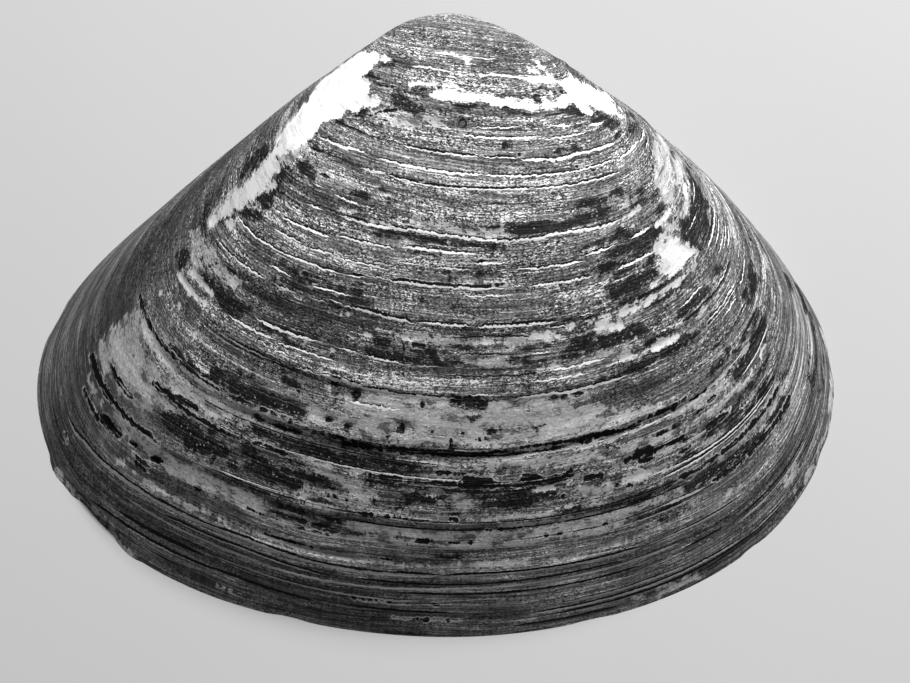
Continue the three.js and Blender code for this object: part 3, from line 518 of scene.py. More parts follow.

# %% [markdown]
# ## Single growth lines
# The edge of each winter's layer is a thin line, chalk white where it has been rubbed and a painted highlight
# where the edge catches the light, with a black line just behind it on the side of the beak: dirt, and
# painted shadow. Drawn as strokes they would be coarser than the net of points. So every point learns its
# distance across to the nearest line, with its sign. Between two points that distance grows evenly, so the
# material finds the line itself to a hundredth of a millimetre. Lines that run close together go to separate
# groups, so that no point has two nearest lines.

# %% Lines: half width of the white and of the black behind it, in mm, then place and size of each spot
GROWTH_LINES = (
    # below the beak
    (0.13, 0, 620, 202.5, 650, 203, 680, 208, 710, 210),
    (0.2, 0, 541, 225.7, 575, 227, 596, 230, 620, 233.5),
    (0.3, 0.05, 675, 237.5, 700, 240.5, 720, 245, 740, 249.5, 755, 252), (0.15, 0, 620, 303, 635, 304.5),
    (0.12, 0.06, 635, 322, 700, 326), (0.2, 0.1, 620, 333.5, 640, 337, 675, 340.5, 715, 344),
    (0.16, 0.1, 720, 349, 750, 351.5, 785, 355), (0.24, 0.06, 740, 331, 755, 334, 770, 337),
    (0.25, 0.1, 798, 348, 815, 352, 830, 355), (0, 0.17, 708, 308.5, 730, 311.5),
    (0, 0.17, 740, 314.5, 775, 318), (0, 0.18, 438, 345, 476, 348, 500, 352.5),
    (0, 0.11, 500, 352.5, 537, 355, 551, 356),
    (0.14, 0.19, 550, 357.7, 568, 359.7, 585, 361.1, 620, 364, 640, 365.5),
    (0.11, 0.17, 640, 365.5, 655, 367.2, 685, 369.5),
    (0.28, 0.12, 687, 373, 713, 377, 730, 380, 757, 380, 778, 383, 803, 387, 820, 388.5),
    (0.22, 0.08, 425, 376.5, 465, 377.5, 490, 378, 505, 379, 510, 381),
    (0.22, 0.1, 525, 382.5, 545, 384.5, 560, 386.5, 600, 389, 640, 391.5),
    (0.14, 0.12, 640, 391.5, 690, 397, 720, 400, 745, 402.5, 785, 406, 800, 408),
    (0.25, 0.08, 810, 411.5, 830, 413.5, 860, 415), (0.3, 0.06, 508, 401.5, 535, 403),
    (0.15, 0.16, 537, 403.5, 560, 406.5, 585, 409.5, 620, 410.2, 645, 411.5, 690, 414.5),
    (0.14, 0.16, 690, 414.5, 710, 417.5, 725, 419, 750, 421.5, 770, 424, 795, 427),
    (0, 0.22, 420, 396, 445, 397.5), (0.17, 0.1, 455, 441, 470, 444), (0.15, 0.08, 485, 447, 520, 454),
    (0, 0.26, 822, 387, 835, 384.5, 850, 384), (0.16, 0.14, 860, 420, 885, 423.5, 905, 427),
    (0.12, 0.18, 862, 433, 885, 435, 905, 438),
    # the great bright line and the ones after it
    (0.24, 0.12, 460, 473, 480, 473), (0.22, 0.1, 487, 473, 493, 473),
    (0.24, 0.13, 500, 474, 515, 476, 530, 476.5, 540, 475, 565, 475, 570, 472, 580, 474, 620, 478, 650,
     482, 680, 483, 700, 480, 725, 483, 740, 486, 765, 487),
    (0.15, 0.12, 420, 501, 437, 501), (0.17, 0.12, 438, 505, 470, 505, 500, 506.5),
    (0.17, 0.12, 505, 501, 558, 501.5), (0.22, 0.14, 563, 496.5, 595, 497, 625, 498),
    (0.12, 0, 615, 490, 630, 490), (0.14, 0.1, 553, 513, 565, 513), (0.15, 0.1, 560, 518, 580, 518),
    (0.15, 0.1, 590, 519, 620, 519), (0.15, 0.1, 642, 519, 650, 519), (0.17, 0.12, 655, 520.5, 715, 523),
    (0.21, 0.2, 620, 511, 650, 511), (0.21, 0.12, 718, 516.5, 750, 516.5),
    (0.25, 0.1, 768, 516, 795, 516), (0.15, 0.11, 435, 524.5, 472, 526.5),
    (0.15, 0.11, 478, 528.5, 510, 528.5), (0.14, 0.11, 510, 529, 558, 529),
    (0.15, 0.13, 378, 547, 420, 548.5, 460, 549, 520, 549), (0.18, 0.2, 520, 550, 540, 546),
    (0.17, 0.13, 540, 543, 555, 543), (0.19, 0.22, 555, 543.5, 645, 543.5),
    (0.16, 0.12, 648, 542.5, 660, 542.5), (0.18, 0.12, 665, 543.5, 720, 546),
    (0.22, 0.12, 740, 547.5, 785, 547.5), (0.1, 0, 610, 553, 650, 553), (0.15, 0.08, 450, 571, 475, 574),
    (0.15, 0.1, 495, 575.5, 530, 574), (0.14, 0.12, 372, 595, 395, 592.5, 430, 591, 455, 591),
    (0.18, 0.16, 463, 592, 485, 592), (0.17, 0.13, 497, 591.5, 513, 591.5),
    (0.17, 0.16, 513, 587, 525, 587), (0.19, 0.22, 525, 589, 540, 589, 560, 592, 580, 594),
    (0.22, 0.25, 580, 592.5, 618, 592.5), (0.22, 0.25, 622, 593.5, 680, 593.5),
    (0.15, 0.12, 697, 593, 710, 593), (0.2, 0.12, 673, 599.5, 687, 603),
    (0, 0.22, 740, 596.5, 800, 595.5), (0, 0.2, 815, 596.5, 840, 596.5),
    # between the middle and the great ledge
    (0.24, 0.16, 460, 642.5, 462, 644, 480, 645, 500, 645, 515, 643.5),
    (0.21, 0.13, 528, 643.5, 545, 644.5), (0.15, 0.1, 545, 646.5, 580, 649),
    (0.13, 0, 580, 649, 595, 647.5), (0.19, 0.08, 436, 659.5, 482, 659.5),
    (0.14, 0.06, 483, 662.5, 505, 660.5, 530, 662), (0.16, 0.1, 483, 672, 500, 672),
    (0.15, 0.14, 442, 685.5, 485, 685.5), (0.21, 0.14, 505, 684, 520, 683.5),
    (0.3, 0.13, 520, 683.8, 535, 684, 550, 686.8, 575, 688.5, 585, 688, 605, 686.8),
    (0.12, 0.08, 610, 681, 635, 681),
    (0.21, 0.12, 642, 687.5, 670, 687, 680, 688.5, 685, 687, 695, 687.5, 720, 686),
    (0.21, 0.1, 735, 685, 750, 685), (0, 0.16, 488, 688.5, 503, 688.5),
    (0.25, 0.08, 542, 708.5, 575, 708.5), (0.15, 0, 568, 616.5, 582, 616.5),
    (0, 0.12, 603, 609.5, 610, 609, 620, 606.5, 635, 606.5, 660, 608),
    (0.13, 0, 655, 630, 665, 632, 675, 630.5), (0, 0.13, 610, 629, 633, 629.5, 645, 632.5),
    (0, 0.11, 600, 658, 675, 659), (0.2, 0, 655, 668, 695, 669), (0.25, 0.06, 668, 656, 710, 656),
    (0, 0.25, 775, 655, 860, 657), (0.14, 0.08, 820, 652.5, 855, 652.5),
    (0.15, 0.1, 780, 635.5, 800, 632, 815, 633), (0.16, 0.1, 795, 677, 850, 677),
    (0.12, 0.1, 795, 682.5, 850, 682.5), (0.16, 0.06, 815, 691.5, 840, 692.5),
    (0, 0.22, 790, 715.5, 805, 715.5), (0.2, 0.12, 842, 605.5, 870, 604.5, 900, 606),
    (0.12, 0.12, 835, 562, 862, 562), (0.12, 0.1, 855, 617, 895, 617), (0.14, 0.12, 850, 628, 875, 628),
    (0.16, 0.12, 860, 634.5, 895, 634), (0.16, 0.12, 865, 643, 895, 642),
    (0.15, 0.12, 848, 692.5, 875, 690.5, 886, 689.5), (0, 0.2, 842, 600, 898, 600),
    (0.12, 0.14, 870, 552, 905, 553), (0.14, 0.14, 875, 589, 892, 590), (0, 0.13, 810, 714.5, 850, 714.5),
    (0, 0.3, 817, 738, 850, 738.5), (0, 0.15, 400, 749, 440, 749, 450, 748.5, 510, 750.5),
    (0, 0.14, 470, 729.5, 518, 730.5), (0, 0.22, 400, 609.5, 425, 609.5),
    (0.17, 0, 618, 763.8, 650, 762, 680, 761.2, 710, 760.7, 730, 760, 750, 758, 778, 754.5, 800, 752.5,
     820, 752),
    # the belly
    (0.15, 0.12, 714, 826.5, 730, 829, 780, 828.5, 812, 828),
    (0.11, 0.16, 720, 836.5, 760, 834, 830, 832), (0.13, 0.12, 803, 777, 830, 775, 855, 773),
    (0.22, 0.1, 715, 873, 730, 874, 746, 875.5), (0.13, 0, 760, 876.5, 776, 878),
    (0, 0.11, 430, 774, 500, 771.5, 600, 773.5), (0.13, 0.08, 510, 790, 620, 792.5),
    (0.09, 0.08, 475, 844, 520, 843), (0, 0.12, 470, 847.5, 740, 848.5), (0, 0.14, 550, 858, 740, 858),
    (0, 0.1, 640, 873, 750, 873), (0.11, 0, 530, 881.5, 740, 881.5),
    # by the margin
    (0.26, 0.22, 360, 946.5, 375, 945, 380, 940, 400, 934, 420, 927, 440, 922, 460, 918.5, 490, 916, 505,
     915, 520, 917.5, 540, 921, 560, 921.5, 580, 920, 600, 918),
    (0.14, 0.22, 600, 918, 620, 917, 650, 916.5, 700, 917.5), (0.14, 0.12, 710, 916.5, 770, 919),
    (0.1, 0.2, 455, 932.5, 470, 928.5, 505, 927.5, 520, 930, 535, 932.5, 550, 934.5),
    (0, 0.16, 560, 931, 600, 931, 650, 928, 690, 928),
    (0.2, 0, 430, 942, 450, 938, 490, 935, 510, 937, 530, 940, 550, 941.5, 590, 937, 620, 933.5, 720,
     932),
    (0, 0.3, 430, 964.5, 450, 961, 470, 957.5, 490, 955.5),
    (0, 0.22, 410, 982, 430, 974.5, 450, 971, 470, 968.5, 505, 966.5, 520, 968.5, 548, 971.5),
    (0, 0.18, 555, 968.5, 610, 968.5), (0, 0.18, 460, 982, 480, 982),
    (0.13, 0.06, 495, 950, 515, 950.5, 530, 953, 550, 954, 580, 954, 592, 952),
    (0.11, 0, 595, 952, 630, 949.5), (0.17, 0.08, 775, 919.5, 800, 921),
    (0.25, 0.1, 800, 920.5, 810, 920.5), (0.28, 0.1, 820, 919.5, 850, 917),
    (0, 0.17, 580, 943.5, 620, 943.5, 700, 943), (0, 0.2, 720, 943, 750, 943),
    (0, 0.2, 760, 944, 830, 944), (0.21, 0.1, 758, 950, 830, 950), (0.12, 0, 700, 948.5, 720, 948.5),
    (0.2, 0.1, 655, 967, 720, 967), (0.17, 0.16, 640, 975.5, 700, 975, 735, 974.5, 760, 976),
    (0.17, 0.16, 762, 978, 795, 978), (0, 0.2, 650, 980.5, 790, 981.5), (0, 0.17, 630, 990, 685, 990),
    (0.2, 0.08, 820, 966, 850, 964.5),
)

# %% Lines that run close together go to separate groups
LINE_CLEARANCE = 2.6
LINE_CLEARANCE_ENDS = 0.15
LINE_PROBES = 30


def run_apart(line, other):
    """True where two lines never come closer than the clearance."""
    (_, line_places, line_sizes), (_, other_places, other_sizes) = line, other
    start = max(line_places[0], other_places[0]) - LINE_CLEARANCE_ENDS
    end = min(line_places[-1], other_places[-1]) + LINE_CLEARANCE_ENDS
    if start > end:
        return True
    between = np.linspace(start, end, LINE_PROBES)
    gap = np.interp(between, line_places, line_sizes) - np.interp(between, other_places, other_sizes)
    return np.abs(gap).min() * GROWTH_PATH > LINE_CLEARANCE


line_groups = []
for row in GROWTH_LINES:
    line = read_mark(row, widths=2)
    free = [group for group in line_groups if all(run_apart(line, other) for other in group)]
    if free:
        free[0].append(line)
    else:
        line_groups.append([line])
print("growth lines:", len(GROWTH_LINES), "in groups of:", [len(group) for group in line_groups])

# %% The distance to the nearest line, group by group
LINE_REACH = 0.8
LINE_FADE = 0.07
LINE_PAST_END = 0.12


def line_field(group):
    """For each point: mm past the nearest line of the group, and the half widths of its white and black."""
    field = np.zeros(place.shape + (3,))
    field[..., 0] = 2 * LINE_REACH
    for (white, black), line_places, line_sizes in group:
        start, end = line_places[0] + LINE_FADE / 2, line_places[-1] - LINE_FADE / 2
        past = GROWTH_PATH * (size - np.interp(place, line_places, line_sizes))
        here = (place > start - LINE_PAST_END) & (place < end + LINE_PAST_END)
        nearest = here & (np.abs(past) < np.abs(field[..., 0]))
        fade = rise(start - LINE_FADE, start + LINE_FADE, place)
        fade = fade * rise(end + LINE_FADE, end - LINE_FADE, place) * (np.abs(past) < LINE_REACH)
        field[nearest] = np.stack([past, white * fade, black * fade], -1)[nearest]
    return field


line_fields = [line_field(group) for group in line_groups]
near_lines = [float((np.abs(field[..., 0]) < LINE_REACH).mean()) for field in line_fields]
print("share of the outside that is near a line:", np.round(near_lines, 3))

# %% [markdown]
# ## Where it is grainy and where it is dull
# Near the beak the skin is worn down to salt and pepper. Towards the margin it is smooth and only lined.
# Broad soft spots set how strong the grain is, and how many stops the tone goes up or down. The tone spots
# are partly the shell's own tone and partly painted light and shade: painted shade on the flanks and along
# the margin, and painted light in a few bands under the ledges.

# %% Soft spots: place, size, reach along and across in mm, and how much
# Tone spots in stops: partly the shell's own tone, partly painted shade on the flanks and by the margin and
# painted light under some ledges
SHADE_SPOTS = (
    (500, 612, 16, 2.6, -1.2), (725, 710, 7, 3.5, -1), (280, 700, 10, 26, -1.4), (325, 600, 3, 4, -1.9),
    (300, 480, 5, 6, -0.6), (325, 500, 3, 14, -0.7), (750, 205, 5, 3, -1.6), (500, 205, 5, 3, -0.9),
    (840, 200, 3, 3, 0.9), (600, 390, 9, 4, 0.6), (790, 360, 7, 4, -0.5), (930, 250, 4, 4, -1.8),
    (895, 395, 3, 2, -0.9), (775, 520, 4, 3, -0.9), (850, 610, 5, 3, -0.6), (875, 680, 5, 2.5, -1.5),
    (425, 550, 4, 6, -0.9), (530, 320, 4, 6, 1.2), (650, 440, 8, 4, 0.5), (470, 757, 18, 4, 0.95),
    (790, 760, 8, 4, -0.5), (800, 860, 9, 7, -0.5), (800, 930, 12, 6, -0.3), (920, 640, 4, 12, 0.7),
    (530, 955, 12, 2.5, -0.6), (470, 900, 8, 3, -0.6), (630, 920, 10, 5, 0.7), (665, 920, 7, 6, 0.5),
    (570, 840, 13, 4, 0.9), (525, 840, 5, 3, 0.4), (650, 900, 9, 2.5, 0.4), (725, 985, 7, 1.6, -0.6),
    (375, 550, 3, 9, 0.5), (325, 680, 3, 3, 0.5), (310, 360, 4, 4, -0.9), (275, 520, 4, 4, -0.6),
    (875, 440, 4, 2, -0.5), (385, 766, 11, 1.6, 0.8), (490, 866, 6, 1.6, 0.7), (430, 780, 6, 1.2, 0.5),
    (500, 985, 20, 1.8, -0.9), (775, 985, 12, 2, -0.6), (600, 620, 20, 6, -0.4), (550, 300, 12, 6, -0.3),
    (375, 810, 8, 5, 0.9), (375, 895, 5, 3, 0.6), (580, 680, 14, 3, 1.3), (280, 760, 5, 6, -0.4),
    (290, 200, 5, 3, -1.5), (725, 600, 4, 4, 1), (875, 840, 5, 4, 0.4), (775, 840, 5, 4, -0.9),
    (565, 955, 6, 4, -0.4), (575, 990, 7, 1.6, -1.4), (850, 905, 6, 3, -0.4), (375, 985, 4, 2, -0.6),
    (930, 290, 3, 3, -0.7), (270, 750, 6, 40, -0.4),
)
GRAIN_SPOTS = (
    (630, 722, 18, 3.6, -0.7), (370, 820, 9, 5, -0.5), (620, 374, 14, 1.8, -0.5),
    (270, 900, 12, 14, -0.3), (960, 760, 12, 28, -0.3), (800, 950, 16, 6, 0.15),
)
LINED_SPOTS = (
    (260, 650, 14, 45, -0.75), (960, 700, 14, 40, 0.6), (630, 722, 18, 3.6, -0.4), (370, 820, 9, 5, -0.6),
)

# %% Add up the soft spots
GRAIN_SIZES = (0.5, 0.78, 0.86, 1.0)
GRAIN_AT = (1.0, 0.8, 0.45, 0.35)
GRAIN_LIMITS = (0.05, 1)
LINED_LIMITS = (0.2, 1.6)


def soft_spots(spots, start):
    """A smooth number over the outside: a start value and the spots added to it."""
    total = start.copy()
    for where, when, reach_along, reach_across, amount in spots:
        at_size = when / SIZE_UNITS
        middle = np.interp(where / PLACE_UNITS, places, along_margin) * at_size
        away = ((along - middle) / reach_along) ** 2 + (GROWTH_PATH * (size - at_size) / reach_across) ** 2
        total += amount * np.exp(-away)
    return total


fields["shade"] = soft_spots(SHADE_SPOTS, np.zeros_like(size))
fields["grain"] = np.clip(soft_spots(GRAIN_SPOTS, np.interp(size, GRAIN_SIZES, GRAIN_AT)), *GRAIN_LIMITS)
fields["lined"] = np.clip(soft_spots(LINED_SPOTS, np.ones_like(size)), *LINED_LIMITS)
fields["along"] = along
fields["growth"] = growth
for name in ("shade", "grain", "lined"):
    print(name, "from", round(float(fields[name].min()), 2), "to", round(float(fields[name].max()), 2))

# %% [markdown]
# ## The relief of the outside
# Each winter leaves a ledge: the older layer thickens towards its edge and ends in a step. The steps are
# ragged, because the edge flakes. Between them the surface has faint ribs. A bump map alone would leave the
# outline smooth, so the ledges, the rear ridge, the pits and the chipped margin are moved points.

# %% Ledges: size and height in mm
LEDGES = (
    (235, 0.12), (277, 0.18), (339, 0.14), (362, 0.08), (389, 0.08), (409, 0.18), (476, 0.3), (500, 0.1),
    (517, 0.1), (541, 0.18), (590, 0.26), (645, 0.12), (684, 0.28), (756, 0.4), (797, 0.16), (850, 0.26),
    (880, 0.12), (914, 0.16), (929, 0.18), (943, 0.12), (967, 0.1),
)
LEDGE_REACH = 3.5
LEDGE_WIDTH = 0.45
TEETH_REACH = (2.2, 5.0)
TEETH_HEIGHT = 0.14
TEETH_SEED = 12
STRENGTH_REACH = 17.0
STRENGTH_CHANGE = 0.35
STRENGTH_SEED = 13
FLANK_SMOOTH = 0.75
FLANK_PLACES = (5.0, 3.7)


def ledge_lift(place, along, growth):
    """How far the ledges lift the surface. Their edges are toothed, and some stretches stand higher."""
    lift = np.zeros_like(growth)
    teeth = TEETH_HEIGHT * ragged(along / TEETH_REACH[0], growth / TEETH_REACH[1], TEETH_SEED)
    for n, (edge, ledge_height) in enumerate(LEDGES):
        stretches = ragged(along / STRENGTH_REACH, np.full_like(along, n), STRENGTH_SEED)
        strength = 1 + STRENGTH_CHANGE * stretches
        before = GROWTH_PATH * edge / SIZE_UNITS + teeth - growth
        step = rise(-LEDGE_WIDTH, 0, before) * np.exp(-np.clip(before, 0, None) / LEDGE_REACH)
        lift += ledge_height * strength * step
    return lift * (1 - FLANK_SMOOTH * rise(*FLANK_PLACES, place))


# %% The rear ridge, and ribs and swells: reach along, reach across, height in mm and seed
RIDGE_AT = 3.66
RIDGE_WIDTH = 0.30
RIDGE_HEIGHT = 0.5
RIDGE_STARTS, RIDGE_ENDS = (0.15, 0.60), (1.00, 0.88)
RIBS = ((26.0, 1.1, 0.035, 21), (40.0, 2.7, 0.05, 22), (15.0, 9.0, 0.10, 23))


def ridge_lift(place, size):
    """The blunt ridge from the beak to the rear corner."""
    fading = rise(*RIDGE_STARTS, size) * rise(*RIDGE_ENDS, size)
    return RIDGE_HEIGHT * np.exp(-((place - RIDGE_AT) / RIDGE_WIDTH) ** 2) * fading


def hills(x, y, rows):
    """The sum of some layers of random hills."""
    return sum(top * ragged(x / reach_x, y / reach_y, seed) for reach_x, reach_y, top, seed in rows)


# %% Pits: place, size, radius in mm. Nicks of the margin: from place, to place, how far out in mm
PITS = (
    (745, 285, 1.1), (624, 316, 1.1), (532, 689, 0.9), (546, 697, 1), (576, 730, 1.1), (546, 740, 1),
    (534, 737, 0.7), (393, 894, 1.6), (438, 876, 1), (418, 881, 0.7),
)
PIT_DEPTH = 0.32
NICKS = (
    (370, 386, 0.5), (402, 420, -0.85), (420, 438, -0.7), (446, 456, 0.24), (530, 542, -0.25),
    (660, 675, -0.18), (755, 766, -0.22), (830, 844, -0.25), (890, 904, -0.2), (260, 280, -0.25),
)
PIT_EDGE = (1.15, 0.55)
NICK_RAGGED = (0.05, 5.0)
NICK_SEED = 31
NICK_SLOPE = 0.35


def pit_lift(points):
    """Shallow bowls where the outer layer has worn through."""
    where, when, radii = np.array(PITS).T
    lift = np.zeros(points.shape[:2])
    for middle, radius in zip(grown(where / PLACE_UNITS, when / SIZE_UNITS), radii):
        away = np.linalg.norm(points - middle, axis=-1) / radius
        lift -= PIT_DEPTH * rise(*PIT_EDGE, away)
    return lift


def margin_nicks(place):
    """How far out, in mm, the broken margin stands from the grown one."""
    out = NICK_RAGGED[0] * ragged(place * NICK_RAGGED[1], place * 0, NICK_SEED)
    for start, end, depth in NICKS:
        slope = NICK_SLOPE * (end - start) / PLACE_UNITS
        first, last = start / PLACE_UNITS, end / PLACE_UNITS
        nick = rise(first - slope, first + slope, place) * rise(last + slope, last - slope, place)
        out = out + depth * nick
    return out


# %% Work out the outside
RELIEF_CLEARANCE = 3.0
WORN_EDGE = (-0.4, 0.5)
WORN_SMOOTH = 0.85
WORN_DEPTH = 0.12
NICKS_REACH_IN = (0.982, 1.0)

around = np.gradient(bare, axis=1)
inward = np.gradient(bare, axis=0)
outward = np.cross(around, inward)
length = np.linalg.norm(outward, axis=-1, keepdims=True)
outward = outward / np.maximum(length, TINY)
outward *= np.sign(outward[ROWS // 2, COLUMNS // 2, 2])

settled = rise(0, RELIEF_CLEARANCE, bare[..., 2])
worn = rise(*WORN_EDGE, fields["white"])
ledges_and_ribs = ledge_lift(place, along, growth) + hills(along, growth, RIBS)
lift = ledges_and_ribs * (1 - WORN_SMOOTH * worn) - WORN_DEPTH * worn
lift = (lift + ridge_lift(place, size) + pit_lift(bare)) * settled

nick = margin_nicks(place)
near_margin = rise(*NICKS_REACH_IN, size)
flat_length = np.linalg.norm(outward[..., :2], axis=-1, keepdims=True)
flat_out = outward[..., :2] / np.maximum(flat_length, TINY)
outside = bare + outward * lift[..., None]
outside[..., :2] += flat_out * (nick * near_margin)[..., None]
print("lift, mm:", round(float(lift.min()), 2), "to", round(float(lift.max()), 2))

# %% Close the two ends of the hinge line
HINGE_STEPS = 4
merged = 1 - np.ceil(np.linspace(0, 1, ROWS + 1) * HINGE_STEPS) / HINGE_STEPS
for end in (0, -1):
    outside[:, end] = outside[0, end] * merged[:, None]
print("outside, mm:", np.round(outside.min((0, 1)), 2), np.round(outside.max((0, 1)), 2))

# %% [markdown]
# ## The hollow side
# Inside, the valve is smooth as china: a flat rim, a hinge plate with teeth under the beak, and the hollow
# that held the animal. It is made as rings that shrink from the margin to the middle, each point lifted to
# the height of the inside there. The hollow is a growth spiral of its own, so its height is found by
# halving: the highest point above a spot that is still inside the spiral.

# %% The spiral of the hollow
HOLLOW_GROWTH = 1.58
HOLLOW_DRIFT = 0.85
HOLLOW_FROM_BEAK = 9.0
HOLLOW_DROP = 0.6
HOLLOW_MARGIN = np.array([
    (-2.0, 0), (-23.5, -9.6), (-45.0, -25.0), (-62.2, -43.4), (-55.6, -65.4), (-35.8, -79.7), (0.9, -87.0),
    (34.0, -80.9), (55.0, -66.5), (61.5, -43.4), (46.0, -23.4), (23.4, -6.0), (2.0, 0),
])
HOLLOW_YOUNG = HOLLOW_MARGIN + HOLLOW_DRIFT * (YOUNG_MARGIN - GROWN_MARGIN)
HOLLOW_CENTRE = np.array((0.0, -45.0))
TABLE_SIZES = np.linspace(0, 1, 21)
TABLE_ANGLES = np.linspace(-np.pi, np.pi, 721)


def reach_table():
    """How far the hollow's outline reaches from its centre, for each size and each direction."""
    rows = []
    for share in TABLE_SIZES:
        outline = smooth_curve(share * HOLLOW_MARGIN + (1 - share) * HOLLOW_YOUNG, finely) - HOLLOW_CENTRE
        angle = np.unwrap(np.arctan2(outline[:, 1], outline[:, 0]))
        reach = np.linalg.norm(outline, axis=1)
        order = np.argsort(angle)
        rows.append(np.interp(TABLE_ANGLES, angle[order], reach[order], period=2 * np.pi))
    return np.array(rows)


REACH = reach_table()
print("the hollow's outline reaches, mm:", round(float(REACH.min()), 1), "to", round(float(REACH.max()), 1))


# %% Whether a point is in the hollow, and how high the roof above a spot is
ABOVE_ROOF = 24.0
HALVINGS = 26


def inside_hollow(x, y, z):
    """How far inside the hollow's outline a point is, as a share: above 0 inside, below 0 in the shell."""
    back, up = -(y + HOLLOW_FROM_BEAK), z + HOLLOW_DROP
    turn = np.arctan2(up, back)
    share = np.exp(-HOLLOW_GROWTH * np.clip(turn, 0, np.pi))
    x, y = x / share - HOLLOW_CENTRE[0], -np.hypot(back, up) / share - HOLLOW_CENTRE[1]
    row = share * (len(TABLE_SIZES) - 1)
    column = (np.arctan2(y, x) + np.pi) / (2 * np.pi) * (len(TABLE_ANGLES) - 1)
    low = np.clip(row.astype(int), 0, len(TABLE_SIZES) - 2)
    left = column.astype(int) % (len(TABLE_ANGLES) - 1)
    up_share, across = row - low, column - np.floor(column)
    reach = (REACH[low, left] * (1 - across) + REACH[low, left + 1] * across) * (1 - up_share)
    reach = reach + (REACH[low + 1, left] * (1 - across) + REACH[low + 1, left + 1] * across) * up_share
    return reach - np.hypot(x, y)


def hollow_height(x, y):
    """The height of the hollow's roof above a spot, 0 where the spot is on the rim."""
    low, high = np.zeros_like(x), np.full_like(x, ABOVE_ROOF)
    open_below = inside_hollow(x, y, low) > 0
    for _ in range(HALVINGS):
        middle = (low + high) / 2
        within = inside_hollow(x, y, middle) > 0
        low, high = np.where(within, middle, low), np.where(within, high, middle)
    return np.where(open_below & (y < -HOLLOW_FROM_BEAK), low, 0)


# %% The distance from the margin
MARGIN_SAMPLES = 721


def margin_distance(x, y):
    """How far inside the margin a spot is, in mm."""
    line = smooth_curve(GROWN_MARGIN, np.linspace(0, LAST_PLACE, MARGIN_SAMPLES))
    nearest = np.full(x.shape, np.inf)
    for spot in line:
        nearest = np.minimum(nearest, (x - spot[0]) ** 2 + (y - spot[1]) ** 2)
    return np.sqrt(nearest)


# %% The teeth of the hinge: both ends and the half width, in mm
TOOTH_SIDE = (0.45, -0.25)
TEETH = (
    (0.4, -2.4, 0.2, -7.0, 0.62), (2.0, -2.4, 5.4, -5.4, 0.62), (-10.4, -7.6, -23.4, -16.2, 0.55),
    (-9.8, -10.3, -21.6, -18.5, 0.55), (10.0, -5.1, 22.6, -12.4, 0.55), (9.6, -7.9, 21.2, -14.8, 0.55),
)


def tooth_height(x, y, tooth):
    """How far a tooth fills the recess of the plate, from 0 beside it to 1 on its crest."""
    start, end, half_width = np.array(tooth[:2]), np.array(tooth[2:4]), tooth[4]
    run = end - start
    share = np.clip(((x - start[0]) * run[0] + (y - start[1]) * run[1]) / (run @ run), 0, 1)
    away = np.hypot(x - start[0] - share * run[0], y - start[1] - share * run[1])
    return rise(half_width + TOOTH_SIDE[0], half_width + TOOTH_SIDE[1], away)


# %% The hinge plate and its ligament pit
PLATE_DEPTH = 2.2
PLATE_LIP = 1.3
PLATE_WALL = 0.5
PLATE_EDGE_X = (0, 27, 48)
PLATE_EDGE_Y = (-17, -28, -34)
PLATE_EDGE_SOFT = 1.5
LIGAMENT_PIT = (-3.6, -5.2)
LIGAMENT_SIZE = (2.1, 4.2, 2.0)
LIGAMENT_TURN = -0.42
LIGAMENT_ROUND = 0.75
LIGAMENT_EDGE = (0.3 * PLATE_DEPTH, 0.9 * PLATE_DEPTH)
TOOTH_CREST = 0.45


def plate_height(x, y, from_margin):
    """The height of the recess over the hinge plate, 0 outside it."""
    edge = np.interp(np.abs(x), PLATE_EDGE_X, PLATE_EDGE_Y)
    inner = rise(edge - PLATE_EDGE_SOFT, edge + PLATE_EDGE_SOFT, y)
    depth = PLATE_DEPTH * rise(PLATE_LIP, PLATE_LIP + PLATE_WALL, from_margin) * inner
    from_x, from_y = x - LIGAMENT_PIT[0], y - LIGAMENT_PIT[1]
    turned_x = from_x * np.cos(LIGAMENT_TURN) + from_y * np.sin(LIGAMENT_TURN)
    turned_y = from_y * np.cos(LIGAMENT_TURN) - from_x * np.sin(LIGAMENT_TURN)
    within = 1 - (turned_x / LIGAMENT_SIZE[0]) ** 2 - (turned_y / LIGAMENT_SIZE[1]) ** 2
    bowl = np.clip(within, 0, None) ** LIGAMENT_ROUND
    depth = depth + LIGAMENT_SIZE[2] * bowl * rise(*LIGAMENT_EDGE, depth)
    for tooth in TEETH:
        depth = depth - np.clip(depth - TOOTH_CREST, 0, None) * tooth_height(x, y, tooth)
    return depth


# %% Scars of the muscles and of the mantle
SCARS = ((-38.0, -47.0, 8.5, 9.5), (37.0, -46.0, 7.5, 11.0))
SCAR_DEPTH = 0.22
SCAR_EDGE = (1.06, 0.90)
SCAR_WOBBLE = (4.0, 0.08)
SCAR_SEED = 51
MANTLE_LINE = np.array([
    (37, -57), (39, -66), (30, -74), (12, -79), (-8, -79), (-26, -74), (-38, -66), (-31, -62), (-18, -60),
    (-12, -56), (-19, -52), (-31, -52), (-38, -56),
])
MANTLE_LINE_WIDTH = 1.3
MANTLE_LINE_CORE = 0.3
MANTLE_DEPTH = 0.08
MANTLE_SAMPLES = 200


def scar_share(x, y):
    """How far inside the nearest muscle scar a spot is, from 0 at its edge to 1 in its middle."""
    share = np.zeros_like(x)
    for middle_x, middle_y, half_width, half_length in SCARS:
        away = np.hypot((x - middle_x) / half_width, (y - middle_y) / half_length)
        wobble = SCAR_WOBBLE[1] * ragged(x / SCAR_WOBBLE[0], y / SCAR_WOBBLE[0], SCAR_SEED)
        share = np.maximum(share, rise(*SCAR_EDGE, away + wobble))
    return share


